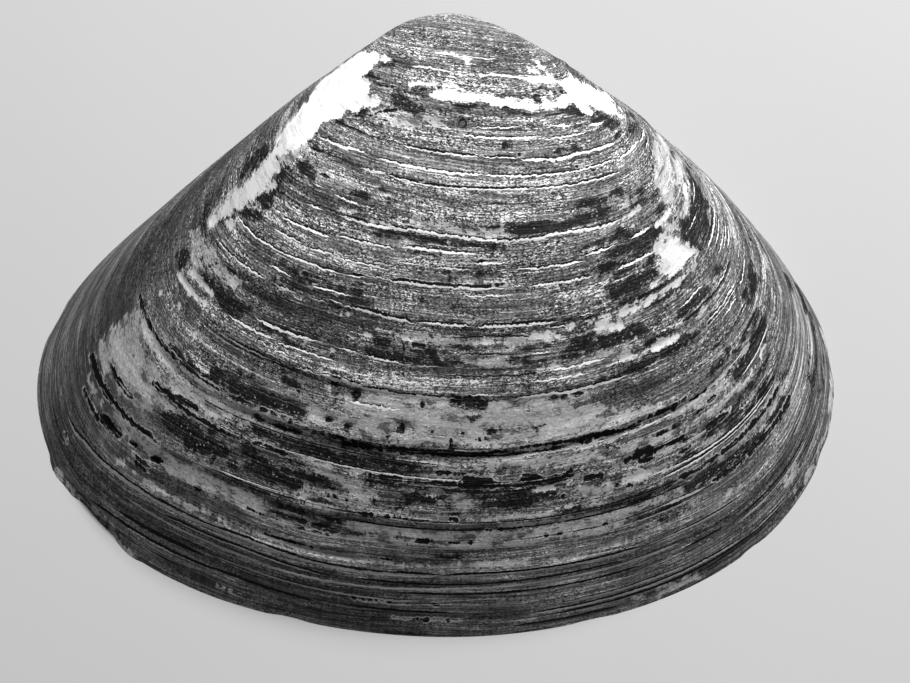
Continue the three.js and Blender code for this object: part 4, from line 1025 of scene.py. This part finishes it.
def mantle_share(x, y):
    """1 on the line where the mantle was fixed, 0 away from it."""
    line = smooth_curve(MANTLE_LINE, np.linspace(0, len(MANTLE_LINE) - 1, MANTLE_SAMPLES))
    nearest = np.full(x.shape, np.inf)
    for spot in line:
        nearest = np.minimum(nearest, np.hypot(x - spot[0], y - spot[1]))
    return rise(MANTLE_LINE_WIDTH, MANTLE_LINE_CORE * MANTLE_LINE_WIDTH, nearest)


# %% Soften the wall under the beak
BEAK_SIDE = -26.0
BEAK_SIDE_WIDTH = 16.0
SOFT_TURNS = 7


def softened(heights, turns):
    """Averages each height with its neighbours on the rings, so that a steep wall gets a round foot."""
    for _ in range(turns):
        heights = (np.roll(heights, 1, 1) + 2 * heights + np.roll(heights, -1, 1)) / 4
        ringed = np.vstack([heights[:1], heights, heights[-1:]])
        heights = (ringed[:-2] + 2 * ringed[1:-1] + ringed[2:]) / 4
    return heights


# %% The outline of the rim, with the hinge line closed
hinge_ends = np.unique(np.round(merged[1:-1], 6))
hinge_ends = hinge_ends[(hinge_ends > 0) & (hinge_ends < 1)]
front_hinge = outside[0, -1, :2] * np.sort(hinge_ends)[::-1, None]
rear_hinge = outside[0, 0, :2] * np.sort(hinge_ends)[:, None]
loop = np.vstack([outside[0, :, :2], front_hinge, [(0.0, 0.0)], rear_hinge])
print("points round the rim:", len(loop))

# %% How wide the rim is: along rays to the centre, up to the first spot that is in the hollow
CENTRE = np.array((0.0, -50.0))
RIM_MOST = 0.2
RIM_PROBES = 401
RIM_SOFTENING = 13
HINGE_SIDE = -33
LIP_MARGIN = 0.1
LIP_LEAST = 0.8

ray = CENTRE - loop
shares = np.linspace(0, RIM_MOST, RIM_PROBES)
probe = loop[None] + ray[None] * shares[:, None, None]
open_here = inside_hollow(probe[..., 0], probe[..., 1], np.zeros(probe.shape[:2])) > 0
rim_share = shares[np.argmax(open_here, axis=0)]
lip_share = (PLATE_LIP + LIP_MARGIN) / np.linalg.norm(ray, axis=1)
rim_share = np.where((rim_share == 0) | (loop[:, 1] > HINGE_SIDE), lip_share, rim_share)
rim_share = np.maximum(rim_share, LIP_LEAST * lip_share)
softening = np.hanning(RIM_SOFTENING) / np.hanning(RIM_SOFTENING).sum()
reach = RIM_SOFTENING // 2
wrapped = np.concatenate([rim_share[-reach:], rim_share, rim_share[:reach]])
rim_share = np.convolve(wrapped, softening, mode="valid")
rim_width = rim_share * np.linalg.norm(ray, axis=1)
print("rim width, mm:", round(float(rim_width.min()), 2), "to", round(float(rim_width.max()), 2))

# %% Rings from the rim to the centre, each point lifted to the roof
RIM_RINGS = 4
INNER_RINGS = 74
RING_CROWDING = 1.35
FILLET = 0.8
FILLET_FROM = (0.2, 1.0)
ROOF_RELIEF_FROM = (1.0, 4.0)
ROOF_HILLS = ((9.0, 9.0, 0.12, 52), (2.5, 2.5, 0.03, 53))

rim_rings = np.linspace(0, 1, RIM_RINGS + 1)[1:, None] * rim_share[None]
inner_step = np.linspace(0, 1, INNER_RINGS + 1)[1:-1, None] ** RING_CROWDING
inner_rings = rim_share[None] + (1 - rim_share[None]) * inner_step
ring_shares = np.vstack([rim_rings, inner_rings])
flat = loop[None] + ray[None] * ring_shares[..., None]
flat_x, flat_y = flat[..., 0], flat[..., 1]
from_margin = margin_distance(flat_x, flat_y)
hollow = hollow_height(flat_x, flat_y)
by_beak = rise(BEAK_SIDE - BEAK_SIDE_WIDTH / 2, BEAK_SIDE + BEAK_SIDE_WIDTH / 2, flat_y)
hollow = hollow + (softened(hollow, SOFT_TURNS) - hollow) * by_beak
plate = plate_height(flat_x, flat_y, from_margin)
fillet = FILLET * rise(*FILLET_FROM, np.minimum(hollow, plate))
roof = (hollow + plate + np.sqrt((hollow - plate) ** 2 + fillet ** 2)) / 2
scar = scar_share(flat_x, flat_y)
mantle = mantle_share(flat_x, flat_y)
relief = SCAR_DEPTH * scar + MANTLE_DEPTH * mantle + hills(flat_x, flat_y, ROOF_HILLS)
roof = roof + relief * rise(*ROOF_RELIEF_FROM, hollow)
roof[:RIM_RINGS] = 0
inside = np.concatenate([flat, roof[..., None]], axis=-1)
centre_height = float(roof[-1].mean())
print("hollow, mm high:", round(float(roof.max()), 2))

# %% [markdown]
# ## One closed mesh
# Outside, rim and hollow side share their points along the margin, so the shell is a single closed skin, as
# a real valve is. It is put together from number lists, which is quick for a hundred thousand points.
# The margin keeps a sharp edge, and everything else is shaded smooth.

# %% Number the points
TIP_SHRINK = 0.5

hinge_of = {round(float(x), 4): n + COLUMNS + 1 for n, x in enumerate(loop[COLUMNS + 1:, 0])}
outer_index = np.zeros((ROWS + 1, COLUMNS + 1), int)
outer_index[0] = np.arange(COLUMNS + 1)
first_free = len(loop)
outer_index[1:, 1:-1] = first_free + np.arange(ROWS * (COLUMNS - 1)).reshape(ROWS, COLUMNS - 1)
for end in (0, -1):
    for row in range(1, ROWS + 1):
        outer_index[row, end] = hinge_of[round(float(outside[row, end, 0]), 4)]
first_free += ROWS * (COLUMNS - 1)
ring_index = first_free + np.arange(inside[..., 0].size).reshape(inside.shape[:2])
inner_index = np.vstack([np.arange(len(loop))[None], ring_index])
first_free += inside[..., 0].size
tip_index, centre_index = first_free, first_free + 1
tip = outside[-1].mean(0) * TIP_SHRINK
points = np.vstack([
    np.column_stack([loop, np.zeros(len(loop))]), outside[1:, 1:-1].reshape(-1, 3), inside.reshape(-1, 3),
    tip[None], [(CENTRE[0], CENTRE[1], centre_height)],
])
print("points:", len(points))


# %% Number the faces
def net_faces(index):
    """The four-cornered faces between neighbouring rows and columns. Two equal corners make a triangle."""
    corners = np.stack([index[:-1, :-1], index[:-1, 1:], index[1:, 1:], index[1:, :-1]], -1).reshape(-1, 4)
    faces = []
    for face in corners.tolist():
        kept = [c for n, c in enumerate(face) if c != face[n - 1]]
        if len(kept) > 2:
            faces.append(kept)
    return faces


ringed = np.column_stack([inner_index, inner_index[:, :1]])
tip_ring = outer_index[-1].tolist()
outside_faces = net_faces(outer_index)
outside_faces += [[a, b, tip_index] for a, b in zip(tip_ring, tip_ring[1:] + tip_ring[:1]) if a != b]
rim_faces = net_faces(ringed[:RIM_RINGS + 1])
hollow_faces = net_faces(ringed[RIM_RINGS:])
middle_ring = ringed[-1].tolist()
hollow_faces += [[a, b, centre_index] for a, b in zip(middle_ring, middle_ring[1:])]
print("faces outside:", len(outside_faces), "rim:", len(rim_faces), "hollow side:", len(hollow_faces))

# %% Build the valve
FIT_MARGIN = 0.99999


def put_in_scene(name, data):
    """Makes an object of a mesh, a camera or a light, and links it to the scene."""
    thing = bpy.data.objects.new(name, data)
    bpy.context.scene.collection.objects.link(thing)
    return thing


points_low, points_high = points.min(0), points.max(0)
FIT = np.minimum(1, FIT_MARGIN * (cad_high - cad_low) / (points_high - points_low))
fitted = cad_low + (points - points_low) * FIT
valve_mesh = bpy.data.meshes.new("valve_shell")
all_faces = outside_faces + rim_faces + hollow_faces
valve_mesh.from_pydata((fitted / METRE).tolist(), [], all_faces)
slots = [0] * len(outside_faces) + [1] * len(rim_faces) + [2] * len(hollow_faces)
valve_mesh.polygons.foreach_set("material_index", slots)
valve = put_in_scene("valve_shell", valve_mesh)
print("made:", valve.name, "fit:", np.round(FIT, 5))

# %% Turn the faces outward and shade them
edit = bmesh.new()
edit.from_mesh(valve_mesh)
bmesh.ops.recalc_face_normals(edit, faces=edit.faces)
open_edges = sum(1 for edge in edit.edges if len(edge.link_faces) != 2)
for edge in edit.edges:
    if {face.material_index for face in edge.link_faces} == {0, 1}:
        edge.smooth = False
edit.to_mesh(valve_mesh)
edit.free()
valve_mesh.polygons.foreach_set("use_smooth", [True] * len(all_faces))
triangles = sum(len(face) - 2 for face in all_faces)
print("triangles:", triangles, "open edges:", open_edges)

# %% Give each point its numbers
def spread(index, net_values):
    """One number for every point of the mesh: the value of its net, and 0 on the other net."""
    values = np.zeros(len(points), dtype=np.float32)
    values[index] = net_values
    return values


def keep_on_mesh(name, index, net_values):
    """Stores a number on each point of a net, where a material can read it by its name."""
    attribute = valve_mesh.attributes.new(name, "FLOAT", "POINT")
    attribute.data.foreach_set("value", spread(index, net_values))


def keep_three_on_mesh(name, index, net_values):
    """Stores three numbers on each point of a net under one name."""
    attribute = valve_mesh.attributes.new(name, "FLOAT_VECTOR", "POINT")
    values = np.stack([spread(index, net_values[..., n]) for n in range(3)], axis=-1)
    attribute.data.foreach_set("vector", values.ravel())


for name, field in fields.items():
    keep_on_mesh(name, outer_index, field)
for n, field in enumerate(line_fields):
    keep_three_on_mesh(f"lines_{n}", outer_index, field)
for name, values in (("scar", scar), ("mantle", mantle), ("inset", from_margin)):
    keep_on_mesh(name, inner_index[1:], values)
print("numbers kept on the mesh:", len(valve_mesh.attributes))

# %% Tie it to the frame
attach(valve, "root")
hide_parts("valve")
print(valve.name, "rides on the body root and stands for the node valve")

# %% [markdown]
# ## Words for the materials
# A Blender material is a graph of small nodes. Written out node by node it is long and hard to read, so a
# tone here is one number that varies over the surface, and plain arithmetic on tones lays the nodes.

# %% Lay one node
def lay(tree, kind, inputs, **settings):
    """Lays a node of some kind. Each input is given as a number or as the socket to link to it."""
    node = tree.nodes.new(f"ShaderNode{kind}")
    for setting, value in settings.items():
        setattr(node, setting, value)
    for where, value in inputs.items():
        if isinstance(value, bpy.types.NodeSocket):
            tree.links.new(value, node.inputs[where])
        else:
            node.inputs[where].default_value = value
    return node


# %% A tone: one output of the graph, with arithmetic
STOP = float(np.log(2))


class Tone:
    """A number that varies over the surface."""

    def __init__(self, tree, socket):
        self.tree = tree
        self.socket = socket

    def step(self, operation, *others):
        """Lays one Math node on this tone."""
        inputs = {0: self.socket}
        for n, other in enumerate(others, start=1):
            inputs[n] = other.socket if isinstance(other, Tone) else other
        return Tone(self.tree, lay(self.tree, "Math", inputs, operation=operation).outputs[0])

    def __add__(self, other):
        return self.step("ADD", other)

    def __sub__(self, other):
        return self.step("SUBTRACT", other)

    def __mul__(self, other):
        return self.step("MULTIPLY", other)

    def __truediv__(self, other):
        return self.step("DIVIDE", other)

    def size(self):
        return self.step("ABSOLUTE")

    def largest(self, other):
        return self.step("MAXIMUM", other)

    def smallest(self, other):
        return self.step("MINIMUM", other)

    def rise(self, low, high):
        """A smooth rise from 0 to 1 as the tone goes from low to high, or from high down to low."""
        inputs = {"Value": self.socket, "From Min": min(low, high), "From Max": max(low, high)}
        inputs.update({"To Min": float(low > high), "To Max": float(low < high)})
        node = lay(self.tree, "MapRange", inputs, interpolation_type="SMOOTHSTEP")
        return Tone(self.tree, node.outputs["Result"])

    def stops_from(self, start):
        """The start tone, doubled for each stop that this tone counts."""
        return (self * STOP).step("EXPONENT") * start

    def toward(self, target, share):
        """This tone where the share is 0, the target where it is 1."""
        if isinstance(target, Tone):
            return self + (target - self) * share
        return self + (self * -1.0 + target) * share


# %% A finish: a material and the tones that it starts from
SHEET_GAP = 7.31
DOT_EDGE = (1.3, 0.7)
CHOICE_EDGE = 0.01


class Finish:
    """One material, with short words for its nodes."""

    def __init__(self, name):
        self.material = bpy.data.materials.new(name)
        self.material.use_nodes = True
        self.tree = self.material.node_tree
        self.shader = self.tree.nodes["Principled BSDF"]

    def parts(self, vector):
        """The three numbers of a vector."""
        return [Tone(self.tree, part) for part in lay(self.tree, "SeparateXYZ", {0: vector}).outputs]

    def kept(self, name):
        """The number that the mesh keeps under this name."""
        return Tone(self.tree, lay(self.tree, "Attribute", {}, attribute_name=name).outputs["Fac"])

    def kept_three(self, name):
        """The three numbers that the mesh keeps under this name."""
        return self.parts(lay(self.tree, "Attribute", {}, attribute_name=name).outputs["Vector"])

    def spot(self):
        """Where the surface is, in mm."""
        return [part * METRE for part in self.parts(lay(self.tree, "TexCoord", {}).outputs["Object"])]

    def sheet_spot(self, x, y, sheet):
        """Joins two tones to a spot on a flat sheet. Each sheet number is a sheet of its own."""
        return lay(self.tree, "CombineXYZ", {0: x.socket, 1: y.socket, 2: sheet * SHEET_GAP}).outputs[0]

    def noise(self, x, y, row):
        """Cloudy noise from -1 to 1. Its row says how long it is along x and y, and which sheet it is."""
        reach_x, reach_y, sheet, detail, roughness = row
        inputs = {"Vector": self.sheet_spot(x / reach_x, y / reach_y, sheet), "Scale": 1.0}
        inputs.update({"Detail": detail, "Roughness": roughness})
        return Tone(self.tree, lay(self.tree, "TexNoise", inputs).outputs["Fac"]) * 2.0 - 1.0

    def cells(self, x, y, sheet):
        """Cells about one unit wide: how far a cell's middle is, and a number from 0 to 1 for the cell."""
        node = lay(self.tree, "TexVoronoi", {"Vector": self.sheet_spot(x, y, sheet), "Scale": 1.0})
        chosen = lay(self.tree, "SeparateColor", {0: node.outputs["Color"]})
        return Tone(self.tree, node.outputs["Distance"]), Tone(self.tree, chosen.outputs[0])

    def grains(self, x, y, row):
        """A number from -1 to 1 that jumps from grain to grain. Its row gives their size and the sheet."""
        reach_x, reach_y, sheet = row
        return self.cells(x / reach_x, y / reach_y, sheet)[1] * 2.0 - 1.0

    def dots(self, x, y, row):
        """Small round dots, 1 inside and 0 between. Only a share of the spots has a dot."""
        apart, radius, share, sheet = row
        away, number = self.cells(x / apart, y / apart, sheet)
        wanted = number.rise(share + CHOICE_EDGE, share - CHOICE_EDGE)
        return (away * apart).rise(radius * DOT_EDGE[0], radius * DOT_EDGE[1]) * wanted

    def feed(self, name, socket):
        """Links a socket to an input of the shader."""
        self.tree.links.new(socket, self.shader.inputs[name])

    def paint(self, tone):
        """Makes a tone the grey of the surface."""
        grey = lay(self.tree, "CombineColor", {n: tone.socket for n in range(3)})
        self.feed("Base Color", grey.outputs[0])

    def roughen(self, tone):
        self.feed("Roughness", tone.socket)

    def emboss(self, height):
        """Tilts the light by a height in mm."""
        inputs = {"Height": height.socket, "Strength": 1.0, "Distance": 1.0 / METRE}
        self.feed("Normal", lay(self.tree, "Bump", inputs).outputs["Normal"])


# %% [markdown]
# ## The weathered outside
# The tone is counted in stops, as a photographer does: each effect adds or takes some, and two to that power
# gives the grey. The fine growth lines are noise pulled out long along the margin, and the grain is finer
# noise. The strokes come last. Their edges are broken up by two noises that all layers share: one for
# flakes, and one for the short teeth that the growth layers leave where they break off.
#
# Each noise has a row of numbers: how many mm its blots measure along and across the growth lines, which
# sheet it is cut from, and how much finer detail it has. The numbers in the sums below say how much of each
# noise goes in, in stops for a tone and in mm for an edge or a bump. They were tuned beside the photo.

# %% Noises that the layers share: mm along and across the growth lines, sheet, detail and roughness
TEETH_NOISE = (0.8, 3.0, 7, 3.0, 0.6)
TEETH_BEND = 0.16
STREAKS = (14.0, 0.32, 3, 3.0, 0.75)
BANDS = (45.0, 2.2, 4, 2.0, 0.6)
DASHES = (0.6, 0.22, 6, 2.0, 0.65)
CLUMPS = (3.2, 1.5, 8, 3.0, 0.65)
FLAKES = (3.0, 1.4, 9, 4.0, 0.7)
GRIT = (0.21, 0.16, 5)


def shared_noises(finish):
    """The growth net and the noises over it. Every layer of the outside takes its own from these."""
    along, growth = finish.kept("along"), finish.kept("growth")
    teeth = finish.noise(along, growth, TEETH_NOISE)
    line = growth + teeth * TEETH_BEND
    return SimpleNamespace(
        along=along, growth=growth, line=line, teeth=teeth,
        grain=finish.kept("grain"), lined=finish.kept("lined"), shade=finish.kept("shade"),
        streaks=finish.noise(along, line, STREAKS), bands=finish.noise(along, line, BANDS),
        dashes=finish.noise(along, line, DASHES), clumps=finish.noise(along, line, CLUMPS),
        flakes=finish.noise(along, line, FLAKES), grit=finish.grains(along, line, GRIT),
    )


# %% The worn skin, from growth lines to grains
BASE_TONE = 0.125
RUNS = (0.6, 14.0, 10, 2.0, 0.5)
PATCHES = (7.0, 2.4, 14, 3.0, 0.65)


def worn_skin(finish, on):
    """The tone where there is no mark."""
    runs = finish.noise(on.along, on.line, RUNS)
    patches = finish.noise(on.along, on.line, PATCHES).rise(-0.22, 0.22)
    salt = on.grit + (on.grit + 0.55).smallest(0.0) * 3.5
    fine = salt * 2.0 + on.dashes * 4.2 + on.clumps * 1.4
    rough = on.grain * (patches * 0.70 + 0.45)
    stops = (on.grain * 0.8 + 3.9) * on.lined * on.streaks + on.bands * on.lined * 2.4
    # on.shade adds the tone spots: the shell's own tone, and painted shade and painted light
    stops = stops + fine * rough + on.clumps * 1.2 + runs * 0.8 + on.shade
    return stops.stops_from(BASE_TONE)


# %% The pale layer under the skin. Small dots: mm apart, radius in mm, share that is there, and sheet
PALE_TONE = 0.37
PEPPER = (0.58, 0.14, 0.42, 12)
SPARKLE = (0.62, 0.12, 0.40, 15)


def with_pale_layer(finish, on, tone):
    """The tone with the pale strokes and the small dots laid on it, and the share of pale."""
    pale = (finish.kept("pale") + on.broken).rise(-0.10, 0.20)
    smears = (on.clumps + on.flakes * 0.6).rise(-0.12, -0.30)
    stops = on.streaks * on.lined * 0.9 + on.bands + on.clumps * 1.1 + on.grit * 0.2
    stops = stops + on.dashes * 1.2 - smears * 1.3
    # The pale layer gets lighter where the tone spots add stops, painted light among them
    pale_tone = stops.stops_from(PALE_TONE) * (on.shade.rise(0.0, 1.0) * 0.35 + 1.0)
    tone = tone.toward(pale_tone, pale)
    pepper = finish.dots(on.along, on.line, PEPPER)
    sparkle = finish.dots(on.along, on.line, SPARKLE)
    return tone * (pepper * (on.grain * -0.6 - 0.3) + 1.0) * (sparkle * on.grain * 1.3 + 1.0), pale


# %% Dark skin and round pits
DARK_TONE = 0.011
FLAKE_EDGE_HIGHLIGHT_TONE = 0.50
SPECK_AND_HIGHLIGHT_TONE = 0.45
SPECKS = (0.62, 0.12, 0.40, 13)
PIT_TONE = 0.006
PIT_FLOOR_TONE = 0.14


def with_dark_skin(finish, on, tone):
    """The tone with the dark strokes laid on it, with a painted highlight along some of their edges, and the
    share of dark.
    """
    inside = finish.kept("dark") + on.teeth * 0.8 + on.flakes * 1.6 + on.dashes * 0.9 + on.grit * 0.12
    dark = inside.rise(-0.20, 0.14)
    stops = on.grit * 1.6 + on.dashes * 3.6 + on.streaks * 6.5 + on.clumps * 2.2
    specks = finish.dots(on.along, on.line, SPECKS) * (on.grit * 0.5 + 0.6)
    dark_tone = stops.stops_from(DARK_TONE).toward(SPECK_AND_HIGHLIGHT_TONE, specks)
    # A painted highlight along some edges of the dark skin
    edge = (inside + 0.20).size().rise(0.14, 0.04) * (on.clumps - on.flakes).rise(0.0, 0.3)
    return tone.toward(FLAKE_EDGE_HIGHLIGHT_TONE, edge * 0.7).toward(dark_tone, dark), dark


def with_pits(finish, on, tone):
    """The tone with the round pits laid on it, each with a dull ring round it, and the share of pit."""
    kept = finish.kept("pit")
    inside = kept + on.teeth * 0.5 + on.flakes * 0.7 + on.dashes * 0.4
    pit = inside.rise(-0.20, 0.10)
    ring = (inside + 0.42).size().rise(0.14, 0.04)
    floor_share = (kept + on.flakes * 0.7 + on.dashes * 0.5).rise(0.26, 0.50)
    pit_tone = (on.grit * 2.0 + on.dashes * 4.3).stops_from(PIT_TONE)
    pit_tone = pit_tone.toward(PIT_FLOOR_TONE, floor_share * 0.6)
    return (tone * (ring * -0.45 + 1.0)).toward(pit_tone, pit), pit


# %% The single growth lines
LINE_TONE = 0.90
LINE_BLACK_TONE = 0.009
MARGIN_LINE_TONE = 0.34
MARGIN_GROWTH = (92.0, 106.0)
YOUNG_GROWTH = (92.0, 80.0)


def with_growth_lines(finish, on, tone):
    """The tone with the single growth lines laid on it: white lines of rubbed chalk with a painted highlight,
    black lines of dirt with painted shadow. Also the shares of white line and of black line.
    """
    older = on.growth.rise(*YOUNG_GROWTH) * 0.75 + 0.25
    wander = (on.teeth * 0.45 + on.dashes * 0.12) * older
    ragged_edge = on.flakes + on.dashes
    white_shares, black_shares = [], []
    for n in range(len(line_groups)):
        past, white, black = finish.kept_three(f"lines_{n}")
        past = past + wander
        behind = (past + white * 0.9 + black * 0.9).size()
        white_shares.append((white * (ragged_edge * 1.1 + 0.88) - past.size()).rise(-0.02, 0.03))
        black_shares.append((black * (ragged_edge * 0.8 + older * 0.35 + 0.92) - behind).rise(-0.02, 0.03))
    white_line = functools.reduce(Tone.largest, white_shares)
    black_line = functools.reduce(Tone.largest, black_shares)
    line_tone = on.growth.rise(*MARGIN_GROWTH) * (MARGIN_LINE_TONE - LINE_TONE) + LINE_TONE
    return tone.toward(LINE_BLACK_TONE, black_line).toward(line_tone, white_line), white_line, black_line


# %% Chalk white, and black dirt with painted shadow
WHITE_TONE = 0.86
CHALK_TONE = 0.56
CHALK_GROWTH = (47.0, 56.0)
BLACK_TONE = 0.003


def with_chalk(finish, on, tone):
    """The tone with the white strokes laid on it, greyer towards the margin, and the share of white."""
    white = (finish.kept("white") + on.broken * 0.8 + on.grit * 0.10).rise(-0.12, 0.14)
    smudges = (on.clumps * 1.2 + on.dashes * 0.6 + on.streaks * 0.8).smallest(0.15)
    white_tone = on.growth.rise(*CHALK_GROWTH) * (CHALK_TONE - WHITE_TONE) + WHITE_TONE
    white_tone = white_tone.toward(MARGIN_LINE_TONE, on.growth.rise(*MARGIN_GROWTH))
    return tone.toward(smudges.stops_from(1.0) * white_tone, white), white


def with_dirt_and_shadow(finish, on, tone):
    """The tone with the black strokes laid on it, dirt and painted shadow, with a painted highlight along
    some edges, and the share of black.
    """
    inside = finish.kept("black") + on.teeth * 0.55 + on.flakes * 0.5
    # A painted highlight along some edges of the black
    edge = (inside + 0.15).size().rise(0.16, 0.06) * (on.clumps + on.streaks).rise(-0.25, 0.15)
    black = inside.rise(-0.05, 0.05) * (on.streaks + on.clumps * 0.4).rise(0.36, 0.14)
    dirt_and_shadow_tone = (on.grit + on.dashes * 3.0 + on.streaks * 9.0).stops_from(BLACK_TONE)
    return tone.toward(SPECK_AND_HIGHLIGHT_TONE, edge * 0.8).toward(dirt_and_shadow_tone, black), black


# %% The weathered outside, layer on layer
DARKEST, BRIGHTEST = 0.006, 0.90
OUTSIDE_SHINE = 0.06


def weathered_outside():
    """All layers laid one on another, with the bump and the gloss that go with them."""
    finish = Finish("weathered_outside")
    on = shared_noises(finish)
    on.broken = on.teeth + on.flakes * 1.8 + on.grit * 0.05
    tone, pale = with_pale_layer(finish, on, worn_skin(finish, on))
    tone, dark = with_dark_skin(finish, on, tone)
    tone, pit = with_pits(finish, on, tone)
    tone, white_line, black_line = with_growth_lines(finish, on, tone)
    tone, white = with_chalk(finish, on, tone)
    tone, black = with_dirt_and_shadow(finish, on, tone)
    finish.paint(tone.smallest(BRIGHTEST).largest(DARKEST))

    height = (on.streaks * (pale * -0.6 + 1.0) + on.bands) * on.lined * 0.06
    height = height + (on.grit * 0.01 + on.dashes * 0.02) * on.grain
    height = height + white_line * 0.05 - black_line * 0.06
    height = height * (white * -0.8 + 1.0) + dark * 0.05 - white * 0.07 - black * 0.08 - pit * 0.12
    finish.emboss(height)
    finish.roughen(pale * -0.15 + white * -0.05 + 0.62)
    finish.shader.inputs["Specular IOR Level"].default_value = OUTSIDE_SHINE
    return finish.material


# %% [markdown]
# ## Rim and hollow side
# The broken edge shows the layers of the shell, thin lines one on another. The hollow side is smooth and
# faintly glossy, like worn china, with dull muscle scars.

# %% The rim
RIM_TONE = 0.50
RIM_ROUGHNESS = 0.7
RIM_LAYERS = (9.0, 0.12, 11, 3.0, 0.5)
RIM_CHALK = (1.4, 1.4, 12, 3.0, 0.5)


def layered_rim():
    """Thin layers one on another, with chalk between them."""
    finish = Finish("layered_rim")
    x, y, z = finish.spot()
    layers = finish.noise(x + y, z, RIM_LAYERS)
    chalk = finish.noise(x, y, RIM_CHALK)
    finish.paint(layers * 0.10 + chalk * 0.14 + RIM_TONE)
    finish.emboss(chalk * 0.05)
    finish.shader.inputs["Roughness"].default_value = RIM_ROUGHNESS
    return finish.material


# %% The hollow side
CHINA_TONE = 0.66
CHINA_ROUGHNESS = 0.46
CHINA_CLOUDS = (14.0, 9.0, 21, 4.0, 0.55)
CHINA_RINGS = (60.0, 0.8, 22, 3.0, 0.5)
CHINA_CHALK = (0.8, 0.8, 23, 3.0, 0.5)
RINGS_FADE = (30.0, 8.0)


def worn_china():
    """Smooth, with faint clouds, rings along the margin, and dull scars."""
    finish = Finish("worn_china")
    x, y, _ = finish.spot()
    scar, mantle = finish.kept("scar"), finish.kept("mantle")
    clouds = finish.noise(x, y, CHINA_CLOUDS)
    inset = finish.kept("inset")
    rings = finish.noise(x, inset, CHINA_RINGS) * inset.rise(*RINGS_FADE)
    chalk = finish.noise(x, y, CHINA_CHALK)
    tone = clouds * 0.10 + rings * 0.05 + chalk * 0.03 + CHINA_TONE
    finish.paint(tone - scar * 0.10 - mantle * 0.08)
    finish.emboss(chalk * 0.02 + rings * 0.02)
    finish.roughen(scar * 0.15 + chalk * 0.1 + CHINA_ROUGHNESS)
    return finish.material


# %% Dress the valve
for material in (weathered_outside(), layered_rim(), worn_china()):
    valve_mesh.materials.append(material)
    print("finish:", material.name, "of", len(material.node_tree.nodes), "nodes")

# %% [markdown]
# ## Camera, light and floor
# The camera looks down steeply from the belly side, as in the photograph. The light comes from beyond the
# beak, low and soft, so that each growth ledge shows.

# %% Camera
AIM = Vector((0.326, -1.513, 9.0)) / METRE
CAMERA_HEIGHT_ANGLE = np.radians(74.08)
CAMERA_DISTANCE = 675.0 / METRE
PIXELS_WIDE = 910
FOCAL_PIXELS = 4500.0
SENSOR = 36.0
AIM_PIXEL = (437.7, 317.6)
FRAME_MIDDLE = (455.0, 341.5)
CLIP_START = 0.01

camera_data = bpy.data.cameras.new("camera")
camera_data.sensor_width = SENSOR
camera_data.lens = FOCAL_PIXELS / PIXELS_WIDE * SENSOR
camera_data.shift_x = (FRAME_MIDDLE[0] - AIM_PIXEL[0]) / PIXELS_WIDE
camera_data.shift_y = (AIM_PIXEL[1] - FRAME_MIDDLE[1]) / PIXELS_WIDE
camera_data.clip_start = CLIP_START
camera = put_in_scene("camera", camera_data)
toward = Vector((0, -np.cos(CAMERA_HEIGHT_ANGLE), np.sin(CAMERA_HEIGHT_ANGLE)))
camera.location = AIM + toward * CAMERA_DISTANCE
camera.rotation_euler = (np.pi / 2 - CAMERA_HEIGHT_ANGLE, 0, 0)
bpy.context.scene.camera = camera
print("camera, m:", np.round(camera.location, 3), "lens, mm:", round(camera_data.lens, 1))

# %% Lights
KEY_ANGLE = np.radians(35)
KEY_TURN = np.radians(30)
KEY_DISTANCE = 1.0
KEY_WIDTH = 0.35
KEY_POWER = 21.0


def soft_light(name, turn, height_angle, distance, width, power):
    """A square studio light that looks at the shell. It stands beyond the beak, turned to the right."""
    data = bpy.data.lights.new(name, "AREA")
    data.size = width
    data.energy = power
    light = put_in_scene(name, data)
    level = np.cos(height_angle)
    direction = Vector((np.sin(turn) * level, np.cos(turn) * level, np.sin(height_angle)))
    light.location = direction * distance
    light.rotation_euler = direction.to_track_quat("Z", "Y").to_euler()
    print(name, "at, m:", np.round(light.location, 2), "power, W:", power)


soft_light("key_light", KEY_TURN, KEY_ANGLE, KEY_DISTANCE, KEY_WIDTH, KEY_POWER)

# %% The dim light from all round
WORLD_STRENGTH = 0.11
world = bpy.data.worlds.new("studio")
world.use_nodes = True
background = world.node_tree.nodes["Background"]
background.inputs["Color"].default_value = (1, 1, 1, 1)
background.inputs["Strength"].default_value = WORLD_STRENGTH
bpy.context.scene.world = world
bpy.context.scene.view_settings.view_transform = "Standard"

# %% Floor
FLOOR_HALF = 1.5
FLOOR_TONE = 0.50
FLOOR_ROUGHNESS = 0.9
FLOOR_CLOUDS = (40.0, 40.0, 31, 2.0, 0.5)

floor_corners = [(FLOOR_HALF * x, FLOOR_HALF * y, 0) for x, y in ((-1, -1), (1, -1), (1, 1), (-1, 1))]
floor_mesh = bpy.data.meshes.new("floor")
floor_mesh.from_pydata(floor_corners, [], [(0, 1, 2, 3)])
floor = put_in_scene("floor", floor_mesh)
floor_finish = Finish("pale_floor")
floor_x, floor_y, _ = floor_finish.spot()
floor_finish.paint(floor_finish.noise(floor_x, floor_y, FLOOR_CLOUDS) * 0.01 + FLOOR_TONE)
floor_finish.shader.inputs["Roughness"].default_value = FLOOR_ROUGHNESS
floor_mesh.materials.append(floor_finish.material)
